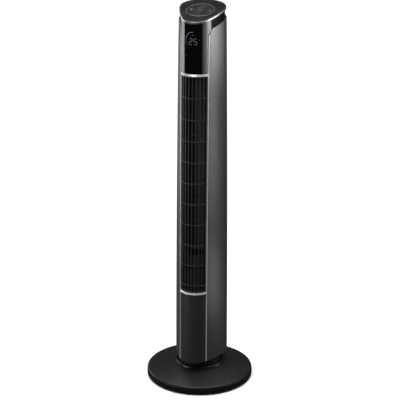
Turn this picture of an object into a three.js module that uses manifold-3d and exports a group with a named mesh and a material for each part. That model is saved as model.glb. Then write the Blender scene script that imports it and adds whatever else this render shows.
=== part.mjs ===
// A tower fan, in millimetres: +Z up, the front towards -Y, the origin on the floor under the swing axis.
// A tall tapering housing holds a cross-flow impeller and turns to and fro on a round weighted base.
import * as THREE from "three";
import { mergeVertices } from "three/addons/utils/BufferGeometryUtils.js";
import Module from "manifold-3d";

const wasm = await Module();
wasm.setup();

// ---- Driving dimensions -------------------------------------------------------------------------

// The housing's section at its foot: a small nose circle and a large back circle, joined by flat flanks.
const NOSE_R = 44;
const NOSE_Y = -44;
const BACK_R = 73;
const BACK_Y = 20;
const FLANK_R = 250;

// The housing narrows and leans back slightly as it rises.
const TAPER_FROM = 60;
const TAPER_OVER = 1000;
const TAPER_POWER = 1.6;
const TAPER_SHARE = 0.12;
const NOSE_KEEP = 0.1;
const BACK_FLATTEN = 0.3;
const LEAN_BACK = 6;

// The top is a plane that falls towards the front.
const TILT = THREE.MathUtils.degToRad(14.2);
const TOP_AT_AXIS = 1057;

// Heights of the housing's bands.
const FLOOR_Z = 68.3;
const FLOOR_THICK = 3.7;
const SHELL_BOTTOM = 69;
const LOWER_TRIM_Z = 275;
const UPPER_TRIM_Z = 893;
const TRIM_HEIGHT = 6.5;
const STRIP_TOP = 1003;
const SHOULDER_DROP = 29;

// Stations are lengths round the section from the middle of the front.
const GRILLE_EDGE = 43.6;
const STRIP_FROM = 44;
const STRIP_TO = 48.4;
const PANEL_FROM = 48.8;
const PANEL_TO = 171.8;
const HEAD_EDGE = 56;
const LENS_EDGE = 25.5;

const GAP = 0.4;
const BASE_R = 150;
const DECK_Z = 40.5;
const IMPELLER_R = 46;
const IMPELLER_Y = 8;
const IMPELLER_BOTTOM = 394;
const IMPELLER_TOP = 884;
const MOTOR_BOTTOM = 305;
const MOTOR_TOP = 368;
const KEY_RING_R = 37.6;
const KEY_TRAVEL = 0.8;

// ---- The section --------------------------------------------------------------------------------

const lean = (z) => Math.max(0, (z - TAPER_FROM) / TAPER_OVER) ** TAPER_POWER;

// Three arcs make each half of the section at a height: the nose, a nearly flat flank and the back.
// The flank's circle holds the other two and touches both. Everything tapers, but the nose less than
// the rest, and the part behind the widest line is flattened as well.
function sectionAt(z) {
  const k = 1 - TAPER_SHARE * lean(z);
  const noseR = NOSE_R * (k + NOSE_KEEP * lean(z));
  const noseY = (NOSE_Y - NOSE_R) * k + noseR;
  const [flankR, backR, backY] = [FLANK_R * k, BACK_R * k, BACK_Y * k];
  const [toNose, toBack, apart] = [flankR - noseR, flankR - backR, backY - noseY];
  const ahead = (apart ** 2 + toNose ** 2 - toBack ** 2) / (2 * apart);
  const across = Math.sqrt(toNose ** 2 - ahead ** 2);
  return {
    k,
    nose: { radius: noseR, x: 0, y: noseY },
    flank: { radius: flankR, x: -across, y: noseY + ahead },
    back: { radius: backR, x: 0, y: backY },
    noseEnd: Math.atan2(across, ahead),
    flankEnd: Math.atan2(across, ahead - apart),
  };
}

const FOOT = sectionAt(TAPER_FROM);
const NOSE_ARC = NOSE_R * FOOT.noseEnd;
const FLANK = FLANK_R * (FOOT.flankEnd - FOOT.noseEnd);
const HALF_ROUND = NOSE_ARC + FLANK + BACK_R * (Math.PI - FOOT.flankEnd);
const FULL_ROUND = 2 * HALF_ROUND;

// The outline's point at a station and a height, moved inwards by inset. The right side is +X.
function place(station, inset, z) {
  let s = ((station % FULL_ROUND) + FULL_ROUND) % FULL_ROUND;
  const side = s > HALF_ROUND ? -1 : 1;
  s = Math.min(s, FULL_ROUND - s);
  const section = sectionAt(z);
  const between = (from, to, share) => from + (to - from) * share;
  const backStart = NOSE_ARC + FLANK;
  let arc = section.nose;
  let angle = between(0, section.noseEnd, s / NOSE_ARC);
  if (s > backStart) {
    arc = section.back;
    angle = between(section.flankEnd, Math.PI, (s - backStart) / (HALF_ROUND - backStart));
  } else if (s > NOSE_ARC) {
    arc = section.flank;
    angle = between(section.noseEnd, section.flankEnd, (s - NOSE_ARC) / FLANK);
  }
  const radius = arc.radius - inset * section.k;
  const behind = angle > Math.PI / 2 ? 1 - BACK_FLATTEN * lean(z) : 1;
  const y = arc.y - radius * Math.cos(angle) * behind + LEAN_BACK * lean(z);
  return [side * (arc.x + radius * Math.sin(angle)), y, z];
}

// The same point on a plane parallel to the sloping top, drop below it.
function onSlope(station, inset, drop) {
  let z = TOP_AT_AXIS;
  for (let i = 0; i < 4; i++) z = TOP_AT_AXIS - drop + place(station, inset, z)[1] * Math.tan(TILT);
  return place(station, inset, z);
}

// ---- Mesh helpers -------------------------------------------------------------------------------

// A closed indexed mesh, turned so that its faces point out.
function closedMesh(points, faces) {
  const volume = faces.reduce((sum, [a, b, c]) => {
    const [p, q, r] = [points[a], points[b], points[c]].map((v) => new THREE.Vector3(...v));
    return sum + p.dot(q.cross(r));
  }, 0);
  const wound = volume < 0 ? faces.map(([a, b, c]) => [a, c, b]) : faces;
  const geometry = new THREE.BufferGeometry();
  geometry.setAttribute("position", new THREE.Float32BufferAttribute(points.flat(), 3));
  geometry.setIndex(wound.flat());
  return geometry;
}

const quad = (a, b, c, d) => [
  [a, b, c],
  [a, c, d],
];

// The stations of a wall: every step along it, and the corners where the arcs meet the flanks.
function stationsOf(from, to, step) {
  const count = Math.max(1, Math.ceil((to - from) / step));
  const list = Array.from({ length: count + 1 }, (_, i) => from + ((to - from) * i) / count);
  const corners = [NOSE_ARC, NOSE_ARC + FLANK];
  const all = corners.flatMap((c) => [c, -c, FULL_ROUND - c, FULL_ROUND + c]);
  const inside = all.filter((c) => c > from + 1 && c < to - 1);
  const kept = list.filter((s) => s === from || s === to || inside.every((c) => Math.abs(s - c) > 1));
  return [...kept, ...inside].sort((a, b) => a - b);
}

const value = (v, station) => (typeof v === "function" ? v(station) : v);

// A curved wall of the housing, between two stations, two insets and two ends.
// An end is a height, or { drop } below the sloping top.
function wall({ from, to, inset = 0, inner, bottom, top, step = 9, levels = 1, closed = false }) {
  const stations = stationsOf(from, to, step);
  if (closed) stations.pop();
  const end = (spec, s, depth) => {
    const at = value(spec, s);
    return typeof at === "number" ? at : onSlope(s, depth, at.drop)[2];
  };
  const points = stations.flatMap((s) => {
    const column = (depth) => {
      const [low, high] = [end(bottom, s, depth), end(top, s, depth)];
      return Array.from({ length: levels + 1 }, (_, j) =>
        place(s, depth, low + ((high - low) * j) / levels),
      );
    };
    return [...column(value(inset, s)), ...column(value(inner, s)).reverse()];
  });
  const loop = 2 * (levels + 1);
  const faces = [];
  const bands = closed ? stations.length : stations.length - 1;
  for (let i = 0; i < bands; i++) {
    const next = (i + 1) % stations.length;
    for (let j = 0; j < loop; j++) {
      const k = (j + 1) % loop;
      faces.push(...quad(i * loop + j, next * loop + j, next * loop + k, i * loop + k));
    }
  }
  const capEnd = (i, flip) => {
    for (let j = 0; j < levels; j++) {
      const [a, b] = [i * loop + j, i * loop + j + 1];
      const [c, d] = [i * loop + loop - 2 - j, i * loop + loop - 1 - j];
      faces.push(...(flip ? quad(a, d, c, b) : quad(a, b, c, d)));
    }
  };
  if (!closed) {
    capEnd(0, false);
    capEnd(stations.length - 1, true);
  }
  return closedMesh(points, faces);
}

// A flat or sloping plate that fills the outline.
function plate({ inset, bottom, top, step = 9 }) {
  const stations = stationsOf(0, FULL_ROUND, step).slice(0, -1);
  const rim = (spec) =>
    stations.map((s) => {
      const at = value(spec, s);
      const depth = value(inset, s);
      return typeof at === "number" ? place(s, depth, at) : onSlope(s, depth, at.drop);
    });
  const centre = (spec) => {
    const at = value(spec, 0);
    return [0, 0, typeof at === "number" ? at : TOP_AT_AXIS - at.drop];
  };
  const n = stations.length;
  const points = [...rim(bottom), ...rim(top), centre(bottom), centre(top)];
  const faces = stations.flatMap((_, i) => {
    const j = (i + 1) % n;
    return [[2 * n, j, i], [2 * n + 1, n + i, n + j], ...quad(i, j, n + j, n + i)];
  });
  return closedMesh(points, faces);
}

function toSolid(geometry) {
  const bare = new THREE.BufferGeometry();
  bare.setAttribute("position", geometry.getAttribute("position"));
  if (geometry.index) bare.setIndex(geometry.index);
  const merged = mergeVertices(bare, 1e-4);
  const vertProperties = new Float32Array(merged.attributes.position.array);
  const triVerts = new Uint32Array(merged.index.array);
  return new wasm.Manifold(new wasm.Mesh({ numProp: 3, vertProperties, triVerts }));
}

function toGeometry(solid) {
  const mesh = solid.getMesh();
  const geometry = new THREE.BufferGeometry();
  geometry.setAttribute("position", new THREE.BufferAttribute(mesh.vertProperties, 3));
  geometry.setIndex(new THREE.BufferAttribute(mesh.triVerts, 1));
  return geometry;
}

const join = (...list) => toGeometry(list.map(toSolid).reduce((a, b) => a.add(b)));
const cut = (body, ...tools) => toGeometry(tools.map(toSolid).reduce((a, b) => a.subtract(b), toSolid(body)));

// A ring or disc about Z, from a profile of [radius, height] pairs.
function turned(profile, sides = 48) {
  const points = profile.map(([r, z]) => new THREE.Vector2(r, z));
  if (profile[0][0] > 0) points.push(points[0].clone());
  const geometry = new THREE.LatheGeometry(points, sides).rotateX(Math.PI / 2);
  const bare = new THREE.BufferGeometry();
  bare.setAttribute("position", geometry.getAttribute("position"));
  bare.setIndex(geometry.index);
  const merged = mergeVertices(bare, 1e-3);
  const whole = [];
  const index = merged.index.array;
  for (let i = 0; i < index.length; i += 3) {
    const [a, b, c] = index.slice(i, i + 3);
    if (a !== b && b !== c && a !== c) whole.push([a, b, c]);
  }
  const p = merged.attributes.position;
  return closedMesh(Array.from({ length: p.count }, (_, i) => [p.getX(i), p.getY(i), p.getZ(i)]), whole);
}

const rod = (r, z0, z1, sides = 24) => turned([[0, z0], [r, z0], [r, z1], [0, z1]], sides);
const tube = (r0, r1, z0, z1, sides = 48) => turned([[r0, z0], [r1, z0], [r1, z1], [r0, z1]], sides);

const extrude = (shape, z0, z1, curveSegments = 12) =>
  new THREE.ExtrudeGeometry(shape, { depth: z1 - z0, bevelEnabled: false, curveSegments }).translate(0, 0, z0);

const box = (x0, x1, y0, y1, z0, z1) =>
  new THREE.BoxGeometry(x1 - x0, y1 - y0, z1 - z0).translate((x0 + x1) / 2, (y0 + y1) / 2, (z0 + z1) / 2);

// ---- Finishes -----------------------------------------------------------------------------------

const finish = (color, roughness, metalness = 0) =>
  new THREE.MeshStandardMaterial({ color, roughness, metalness });
const BLACK_PLASTIC = finish(0x1c1c1d, 0.45);
const GLOSS_BLACK = finish(0x0a0a0b, 0.12);
const GREY_PAINT = finish(0x6a6b6d, 0.38, 0.6);
const SILVER = finish(0xd0d1d3, 0.18, 0.95);
const INNER_PLASTIC = finish(0x2c2d2f, 0.6);
const STEEL = finish(0x8f9296, 0.4, 0.9);
const CAST_WEIGHT = finish(0x3f4042, 0.7, 0.5);
const RUBBER = finish(0x161616, 0.85);
const BOARD_GREEN = finish(0x2c5a3c, 0.6);
const NYLON = finish(0xd8d6cc, 0.5);

const fan = new THREE.Group();

function add(name, geometry, material, parent = fan) {
  const mesh = new THREE.Mesh(geometry, material);
  mesh.name = name;
  parent.add(mesh);
  return mesh;
}

// ---- The base -----------------------------------------------------------------------------------

const FOOT_COUNT = 5;
const FOOT_RING = 128;
const FOOT_HEIGHT = 3.7;
const SCREW_COUNT = 3;
const SPINDLE_R = 16;

// The domed cover is a thin shell: a rounded rim, a shallow cone, a deck, and a hub with the spindle's bore.
add(
  "base_cover",
  turned(
    [
      [BASE_R, 4.2],
      [BASE_R, 15],
      [148.6, 20],
      [144.5, 23.8],
      [74, DECK_Z - 0.4],
      [70, DECK_Z],
      [SPINDLE_R + 0.6, DECK_Z],
      [SPINDLE_R + 0.6, 20],
      [25, 20],
      [25, 37.5],
      [70, 37.5],
      [143.5, 20.5],
      [146.8, 15],
      [146.8, 4.2],
    ],
    48,
  ),
  BLACK_PLASTIC,
);
add(
  "base_collar",
  turned(
    [
      [62.6, DECK_Z + 0.3],
      [62.6, 47],
      [67.2, 47.8],
      [70.4, DECK_Z + 0.4],
    ],
    48,
  ),
  GLOSS_BLACK,
);
add("base_weight", tube(58, 134, 8, 12.2, 40), CAST_WEIGHT);
add("base_plate", rod(146.2, 4.2, 7, 48), BLACK_PLASTIC);

for (let i = 0; i < FOOT_COUNT; i++) {
  const turn = -Math.PI / 2 + (i * 2 * Math.PI) / FOOT_COUNT;
  const foot = turned([[0, 0], [9, 0], [10, 1], [10, FOOT_HEIGHT], [0, FOOT_HEIGHT]], 20);
  add(`rubber_foot_${i + 1}`, foot, RUBBER).position.set(
    FOOT_RING * Math.cos(turn),
    FOOT_RING * Math.sin(turn),
    0,
  );
}
for (let i = 0; i < SCREW_COUNT; i++) {
  const turn = Math.PI / 2 + (i * 2 * Math.PI) / SCREW_COUNT;
  add(`base_screw_${i + 1}`, rod(4, 1.8, 3.8, 12), STEEL).position.set(
    100 * Math.cos(turn),
    100 * Math.sin(turn),
    0,
  );
}

// ---- The swing drive ----------------------------------------------------------------------------

const MODULE = 1.5;
const SECTOR_TEETH = 48;
const PINION_TEETH = 12;
const SECTOR_R = (MODULE * SECTOR_TEETH) / 2;
const PINION_R = (MODULE * PINION_TEETH) / 2;
const PINION_Y = SECTOR_R + PINION_R;
const GEAR_BOTTOM = DECK_Z + 0.3;
const GEAR_TOP = 47.8;
const SECTOR_SHOWN = 8;

// One tooth's outline about the direction angle: root, flank, tip, tip, flank, root.
function tooth(pitchR, angle, teeth, addendum, dedendum) {
  const step = (2 * Math.PI) / teeth;
  const at = (r, share) => [
    r * Math.cos(angle + share * step),
    r * Math.sin(angle + share * step),
  ];
  return [
    at(pitchR - dedendum, -0.36),
    at(pitchR - 0.35 * dedendum, -0.26),
    at(pitchR + addendum, -0.1),
    at(pitchR + addendum, 0.1),
    at(pitchR - 0.35 * dedendum, 0.26),
    at(pitchR - dedendum, 0.36),
  ];
}

// The fixed sector faces the back, where the pinion rolls along it.
function sectorShape() {
  const points = [];
  const step = (2 * Math.PI) / SECTOR_TEETH;
  for (let i = -SECTOR_SHOWN; i <= SECTOR_SHOWN; i++)
    points.push(...tooth(SECTOR_R, Math.PI / 2 + i * step, SECTOR_TEETH, 1.1, 1.7));
  const start = Math.PI / 2 + (SECTOR_SHOWN + 0.5) * step;
  const left = 2 * Math.PI - (2 * SECTOR_SHOWN + 1) * step;
  for (let i = 1; i < 12; i++) {
    const turn = start + (left * i) / 12;
    points.push([30 * Math.cos(turn), 30 * Math.sin(turn)]);
  }
  const shape = new THREE.Shape(points.map(([x, y]) => new THREE.Vector2(x, y)));
  shape.holes.push(new THREE.Path().absarc(0, 0, SPINDLE_R + 1, 0, 2 * Math.PI, true));
  return shape;
}

// The pinion has a gap, not a tooth, towards the sector's middle tooth.
function pinionShape() {
  const points = [];
  for (let i = 0; i < PINION_TEETH; i++) {
    const turn = -Math.PI / 2 + ((i + 0.5) * 2 * Math.PI) / PINION_TEETH;
    points.push(...tooth(PINION_R, turn, PINION_TEETH, 1.1, 1.7));
  }
  return new THREE.Shape(points.map(([x, y]) => new THREE.Vector2(x, y)));
}

add("swing_sector", extrude(sectorShape(), GEAR_BOTTOM, GEAR_TOP, 10), NYLON);
const pinion = join(extrude(pinionShape(), GEAR_BOTTOM + 0.7, GEAR_TOP - 0.3), rod(3, GEAR_BOTTOM + 0.7, 75.9, 12));
add("swing_pinion", pinion, NYLON).position.y = PINION_Y;

add("thrust_ring", tube(SPINDLE_R + 1, 26, GEAR_TOP + 0.3, 50.3, 32), NYLON);
add(
  "spindle",
  turned(
    [
      [11, 14],
      [SPINDLE_R, 14],
      [SPINDLE_R, 50.6],
      [26, 50.6],
      [26, 54],
      [20, 54],
      [20, 64],
      [30, 64],
      [30, FLOOR_Z - 0.4],
      [11, FLOOR_Z - 0.4],
    ],
    32,
  ),
  INNER_PLASTIC,
);
add("spindle_nut", tube(SPINDLE_R + 0.35, 26, 14.5, 19.5, 24), INNER_PLASTIC);
// The floor carries a round skirt that turns inside the collar.
add(
  "tower_floor",
  cut(
    join(
      plate({ inset: 3.9, bottom: FLOOR_Z, top: FLOOR_Z + FLOOR_THICK }),
      tube(58.5, 61, DECK_Z + 1.5, FLOOR_Z + 1, 48),
    ),
    rod(11, 60, 80, 24),
    rod(3.6, 60, 80, 12).translate(0, PINION_Y, 0),
  ),
  BLACK_PLASTIC,
);
add("swing_motor", rod(24, 76.3, 92, 28), STEEL).position.y = PINION_Y;

// ---- The housing's skins ------------------------------------------------------------------------

const LONG_LEVELS = 3;

// The shoulder is the side panels' top edge; its front corner is cut lower.
const CORNER_RUN = 13;
const CORNER_DROP = 10;
const fromFront = (s) => Math.min(Math.abs(s), FULL_ROUND - Math.abs(s));
const cornerDrop = (s) => CORNER_DROP * Math.max(0, (PANEL_FROM + CORNER_RUN - fromFront(s)) / CORNER_RUN);
const shoulder = (extra) => (s) => ({ drop: SHOULDER_DROP + cornerDrop(s) - extra });

// Mirrors a pair of stations to the left side.
const sides = { right: (a, b) => [a, b], left: (a, b) => [-b, -a] };

for (const [side, span] of Object.entries(sides)) {
  const [from, to] = span(PANEL_FROM, PANEL_TO);
  add(
    `side_panel_${side}`,
    wall({ from, to, inner: 2.6, bottom: SHELL_BOTTOM, top: shoulder(0), levels: LONG_LEVELS }),
    GREY_PAINT,
  );
  const [a, b] = span(STRIP_FROM, STRIP_TO);
  add(
    `trim_strip_${side}`,
    wall({
      from: a,
      to: b,
      inset: -0.6,
      inner: 2.4,
      bottom: 70,
      top: STRIP_TOP,
      step: 5,
      levels: LONG_LEVELS,
    }),
    SILVER,
  );
}

const INTAKE_FROM = 186;
const INTAKE_BOTTOM = 397;
const INTAKE_TOP = 883;
const REAR_FROM = PANEL_TO + GAP;
const LINER_FROM = 52;

// The rear housing: the visible back, and a liner under each side panel, in one moulding.
const liner = (from, to) =>
  wall({ from, to, inset: 3, inner: 5.2, bottom: 72.5, top: shoulder(-6), step: 24, levels: LONG_LEVELS });
const GLAND_Z = 112;
add(
  "rear_housing",
  cut(
    join(
      wall({
        from: REAR_FROM,
        to: FULL_ROUND - REAR_FROM,
        inner: 3.4,
        bottom: SHELL_BOTTOM,
        top: shoulder(0),
        levels: LONG_LEVELS,
      }),
      liner(LINER_FROM, REAR_FROM + 4),
      liner(-REAR_FROM - 4, -LINER_FROM),
    ),
    wall({
      from: INTAKE_FROM,
      to: FULL_ROUND - INTAKE_FROM,
      inset: -3,
      inner: 8,
      bottom: INTAKE_BOTTOM,
      top: INTAKE_TOP,
      levels: 4,
    }),
    rod(6.4, 70, 110, 20).rotateX(-Math.PI / 2).translate(0, 0, GLAND_Z),
  ),
  BLACK_PLASTIC,
);

// A grille of upright fins and level bars, inside a frame.
function grille({ from, to, bottom, top, fins, finHalf, bars, barHalf, finDepth, barDepth, levels }) {
  const upright = (a, b) =>
    wall({ from: a, to: b, inset: finDepth[0], inner: finDepth[1], bottom, top, step: 20, levels });
  const level = (z0, z1) =>
    wall({ from, to, inset: barDepth[0], inner: barDepth[1], bottom: z0, top: z1, step: 22 });
  return join(
    ...fins.map((s) => upright(s - finHalf, s + finHalf)),
    ...bars.map((z) => level(z - barHalf, z + barHalf)),
    upright(from, from + 1.6),
    upright(to - 1.6, to),
    level(bottom, bottom + 4),
    level(top - 4, top),
  );
}

const FIN_PITCH = 10.37;
const FIN_SIDE_COUNT = 4;
const BAR_PITCH = 59;
const BAR_TOP = 833;
const BAR_COUNT = 10;
const across = (count, pitch, middle) =>
  Array.from({ length: 2 * count + 1 }, (_, i) => middle + (i - count) * pitch);

add(
  "front_grille",
  grille({
    from: -GRILLE_EDGE,
    to: GRILLE_EDGE,
    bottom: LOWER_TRIM_Z + TRIM_HEIGHT + GAP,
    top: UPPER_TRIM_Z - GAP,
    fins: across(FIN_SIDE_COUNT - 1, FIN_PITCH, 0),
    finHalf: 1.5,
    bars: Array.from({ length: BAR_COUNT }, (_, i) => BAR_TOP - i * BAR_PITCH),
    barHalf: 1.3,
    finDepth: [0.8, 6.5],
    barDepth: [1.6, 5],
    levels: 2,
  }),
  BLACK_PLASTIC,
);
add(
  "rear_grille",
  grille({
    from: INTAKE_FROM + GAP,
    to: FULL_ROUND - INTAKE_FROM - GAP,
    bottom: INTAKE_BOTTOM + GAP,
    top: INTAKE_TOP - GAP,
    fins: across(2, 20, HALF_ROUND),
    finHalf: 1.4,
    bars: [559, 721],
    barHalf: 1.4,
    finDepth: [0.3, 3.4],
    barDepth: [0.9, 3],
    levels: 2,
  }),
  BLACK_PLASTIC,
);

add(
  "lower_front_panel",
  wall({
    from: -GRILLE_EDGE,
    to: GRILLE_EDGE,
    inset: 0.4,
    inner: 3,
    bottom: SHELL_BOTTOM,
    top: LOWER_TRIM_Z - GAP,
    levels: 2,
  }),
  BLACK_PLASTIC,
);
for (const [name, z] of [["lower_trim", LOWER_TRIM_Z], ["upper_trim", UPPER_TRIM_Z]])
  add(
    name,
    wall({
      from: -GRILLE_EDGE,
      to: GRILLE_EDGE,
      inset: -0.5,
      inner: 3,
      bottom: z,
      top: z + TRIM_HEIGHT,
      step: 6,
    }),
    SILVER,
  );

// ---- The head -----------------------------------------------------------------------------------

const CAP_THICK = 6;
const HEAD_INSET = 1.2;
const NECK_FROM = 56.6;
const NECK_SIDE_INSET = 3.2;
const NECK_BACK_INSET = 34;
const NECK_SEAT = 0.6;
const NECK_CLEAR_OF_LINER = 5.2;
const LEDGE_SIDE_INSET = 6.2;
const LEDGE_BACK_INSET = 3.8;
const LEDGE_DROP = 31.5;
const HEAD_BOTTOM = UPPER_TRIM_Z + TRIM_HEIGHT + GAP;

// The neck stands in from the skins, and further in at the back, where a hand goes.
const neckInset = (s) => {
  const share = Math.min(1, Math.max(0, (fromFront(s) - 130) / 70));
  return NECK_SIDE_INSET + (NECK_BACK_INSET - NECK_SIDE_INSET) * share * share * (3 - 2 * share);
};

// The neck stands on the rear housing's liner at the sides and on the ledge at the back.
const neckFoot = (s) => {
  const onLiner = SHOULDER_DROP - NECK_SEAT + cornerDrop(s);
  return { drop: Math.min(LEDGE_DROP - GAP, onLiner + 3 * Math.max(0, neckInset(s) - NECK_CLEAR_OF_LINER)) };
};
// The ledge runs inside the liner at the sides, and close to the rear housing at the back.
const ledgeOuter = (s) => {
  const share = Math.min(1, Math.max(0, (fromFront(s) - 180) / 10));
  return LEDGE_SIDE_INSET + (LEDGE_BACK_INSET - LEDGE_SIDE_INSET) * share;
};

// The head shell frames the display; above the strips it widens over the shoulder's front corners.
const headWing = (from, to) =>
  wall({
    from,
    to,
    inset: HEAD_INSET,
    inner: 2.8,
    bottom: (s) => ({ drop: SHOULDER_DROP + cornerDrop(s) - 2 }),
    top: { drop: CAP_THICK + GAP },
    step: 5,
  });
const headPillar = (from, to) =>
  wall({
    from,
    to,
    inset: HEAD_INSET,
    inner: 3.6,
    bottom: HEAD_BOTTOM,
    top: { drop: CAP_THICK + GAP },
    levels: 3,
    step: 6,
  });
const bridge = (from, to) =>
  wall({
    from,
    to,
    inset: HEAD_INSET,
    inner: 2.8,
    bottom: STRIP_TOP + 6,
    top: { drop: CAP_THICK + GAP },
    step: 6,
  });
add(
  "head_shell",
  join(
    headPillar(LENS_EDGE + GAP, GRILLE_EDGE),
    headPillar(-GRILLE_EDGE, -LENS_EDGE - GAP),
    bridge(GRILLE_EDGE - 1, PANEL_FROM + 1),
    bridge(-PANEL_FROM - 1, -GRILLE_EDGE + 1),
    headWing(PANEL_FROM, HEAD_EDGE),
    headWing(-HEAD_EDGE, -PANEL_FROM),
    wall({
      from: -LENS_EDGE - 4,
      to: LENS_EDGE + 4,
      inset: 3.2,
      inner: 5,
      bottom: HEAD_BOTTOM,
      top: HEAD_BOTTOM + 8,
      step: 8,
    }),
  ),
  GREY_PAINT,
);
add(
  "display_lens",
  wall({
    from: -LENS_EDGE,
    to: LENS_EDGE,
    inset: 0.9,
    inner: 2.8,
    bottom: HEAD_BOTTOM,
    top: { drop: CAP_THICK + GAP },
    step: 5.5,
    levels: 2,
  }),
  GLOSS_BLACK,
);
add("led_display", box(-12, 12, -64, -58.4, 955, 1012), INNER_PLASTIC);
add("display_board", box(-17, 17, -58, -56.4, 930, 1018), BOARD_GREEN);

add(
  "neck",
  wall({
    from: NECK_FROM,
    to: FULL_ROUND - NECK_FROM,
    inset: neckInset,
    inner: (s) => neckInset(s) + 2.5,
    bottom: neckFoot,
    top: { drop: CAP_THICK + GAP },
    step: 13,
  }),
  BLACK_PLASTIC,
);
add(
  "shoulder_ledge",
  wall({
    from: NECK_FROM,
    to: FULL_ROUND - NECK_FROM,
    inset: ledgeOuter,
    inner: (s) => neckInset(s) + 6,
    bottom: { drop: LEDGE_DROP + 2.2 },
    top: { drop: LEDGE_DROP },
    step: 13,
  }),
  BLACK_PLASTIC,
);

// The cap's black top sits inside a silver band that closes its edge all round.
const CAP_EDGE = 2.8;
const CAP_PIVOT_Y = 0;
const capTilt = new THREE.Group();
capTilt.position.set(0, CAP_PIVOT_Y, TOP_AT_AXIS + CAP_PIVOT_Y * Math.tan(TILT));
capTilt.rotation.x = TILT;
fan.add(capTilt);
const keyWell = rod(KEY_RING_R + 0.9, -30, 10, 48)
  .rotateX(TILT)
  .translate(0, capTilt.position.y, capTilt.position.z);
const capPlate = plate({ inset: CAP_EDGE, bottom: { drop: CAP_THICK }, top: { drop: 0 }, step: 7 });
add("top_cap", cut(capPlate, keyWell), GLOSS_BLACK);
add(
  "cap_band",
  wall({
    from: 0,
    to: FULL_ROUND,
    inset: HEAD_INSET,
    inner: 2.4,
    bottom: { drop: CAP_THICK },
    top: { drop: 0.6 },
    step: 9,
    closed: true,
  }),
  SILVER,
);

// ---- The keys, in the cap's own tilted frame -----------------------------------------------------

const KEY_TOP = 0.1;
const KEY_BOTTOM = -4.2;
const POWER_KEY_R = 10.6;
const KEY_INNER_R = 11.6;
const KEY_OUTER_R = 36.2;
const KEY_SPLIT = 0.5;

add("control_ring", tube(KEY_RING_R - 0.8, KEY_RING_R + 0.5, -4.8, 0.3, 48), SILVER, capTilt);
add("key_power", rod(POWER_KEY_R, KEY_BOTTOM, KEY_TOP, 28), GLOSS_BLACK, capTilt);

// A quarter of a ring, with a straight split of constant width beside its neighbours.
function quarterKey(turn) {
  const inner = Math.asin(KEY_SPLIT / KEY_INNER_R);
  const outer = Math.asin(KEY_SPLIT / KEY_OUTER_R);
  const shape = new THREE.Shape();
  shape.absarc(0, 0, KEY_OUTER_R, -Math.PI / 4 + outer, Math.PI / 4 - outer, false);
  shape.absarc(0, 0, KEY_INNER_R, Math.PI / 4 - inner, -Math.PI / 4 + inner, true);
  return extrude(shape, KEY_BOTTOM, KEY_TOP, 8).rotateZ(turn);
}
const QUARTERS = { key_timer: Math.PI, key_speed: 0, key_swing: -Math.PI / 2, key_mode: Math.PI / 2 };
for (const [name, turn] of Object.entries(QUARTERS)) add(name, quarterKey(turn), GLOSS_BLACK, capTilt);

add("key_mat", rod(38.1, KEY_BOTTOM - KEY_TRAVEL - 1.7, KEY_BOTTOM - KEY_TRAVEL - 0.2, 36), RUBBER, capTilt);
add("control_board", rod(38.1, -8.7, -7.1, 36), BOARD_GREEN, capTilt);

// ---- The air mover ------------------------------------------------------------------------------

const SHAFT_R = 4;
const BLADES = 10;
const DISC_THICK = 2.4;
const DISCS = 3;
const plateInset = (s) => (fromFront(s) < LINER_FROM ? 12 : 7);

// One blade's section: a slim slanting strip between the inner and outer radii.
function bladeShape(turn) {
  const at = (r, offset) => new THREE.Vector2(r * Math.cos(turn + offset), r * Math.sin(turn + offset));
  return new THREE.Shape([at(36.2, 0), at(45.2, 0.16), at(45.2, 0.2), at(36.2, 0.05)]);
}

function impeller() {
  const pitch = (IMPELLER_TOP - IMPELLER_BOTTOM - DISC_THICK) / (DISCS - 1);
  const rings = Array.from({ length: DISCS }, (_, i) => {
    const z = IMPELLER_BOTTOM + i * pitch;
    const last = i === DISCS - 1;
    if (i === 0) return tube(SHAFT_R + GAP, IMPELLER_R, z, z + DISC_THICK, 24);
    return last ? rod(IMPELLER_R, z, z + DISC_THICK, 24) : tube(35, IMPELLER_R, z, z + DISC_THICK, 24);
  });
  const blades = Array.from({ length: BLADES }, (_, i) =>
    extrude(bladeShape((i * 2 * Math.PI) / BLADES), IMPELLER_BOTTOM + 0.5, IMPELLER_TOP - 0.5),
  );
  const hub = tube(SHAFT_R + GAP, 11, IMPELLER_BOTTOM, IMPELLER_BOTTOM + 16, 20);
  const axle = rod(SHAFT_R, IMPELLER_TOP - 1, IMPELLER_TOP + 12, 16);
  return join(...rings, ...blades, hub, axle);
}
add("impeller", impeller(), INNER_PLASTIC).position.y = IMPELLER_Y;
add(
  "motor_rotor",
  turned(
    [
      [0, 296],
      [SHAFT_R, 296],
      [SHAFT_R, 313],
      [27, 313],
      [27, 360],
      [SHAFT_R, 360],
      [SHAFT_R, 406],
      [0, 406],
    ],
    24,
  ),
  STEEL,
).position.y = IMPELLER_Y;
add(
  "motor_can",
  turned(
    [
      [6, MOTOR_BOTTOM],
      [38, MOTOR_BOTTOM],
      [42, MOTOR_BOTTOM + 4],
      [42, MOTOR_TOP - 4],
      [38, MOTOR_TOP],
      [6, MOTOR_TOP],
      [6, 364],
      [28.5, 364],
      [28.5, 309],
      [6, 309],
    ],
    32,
  ),
  STEEL,
).position.y = IMPELLER_Y;
const holedPlate = (z, thick, hole) =>
  cut(
    plate({ inset: plateInset, bottom: z, top: z + thick, step: 14 }),
    rod(hole, z - 5, z + 9, 20).translate(0, IMPELLER_Y, 0),
  );
add("motor_plate", holedPlate(MOTOR_TOP + GAP, 4, 9), INNER_PLASTIC);
add("bearing_plate", holedPlate(IMPELLER_TOP + 4, 3.5, 10), INNER_PLASTIC);
const bush = tube(SHAFT_R + 0.35, 9.6, IMPELLER_TOP + 2.5, IMPELLER_TOP + 9, 24);
add("bearing_bush", bush, RUBBER).position.y = IMPELLER_Y;
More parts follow.
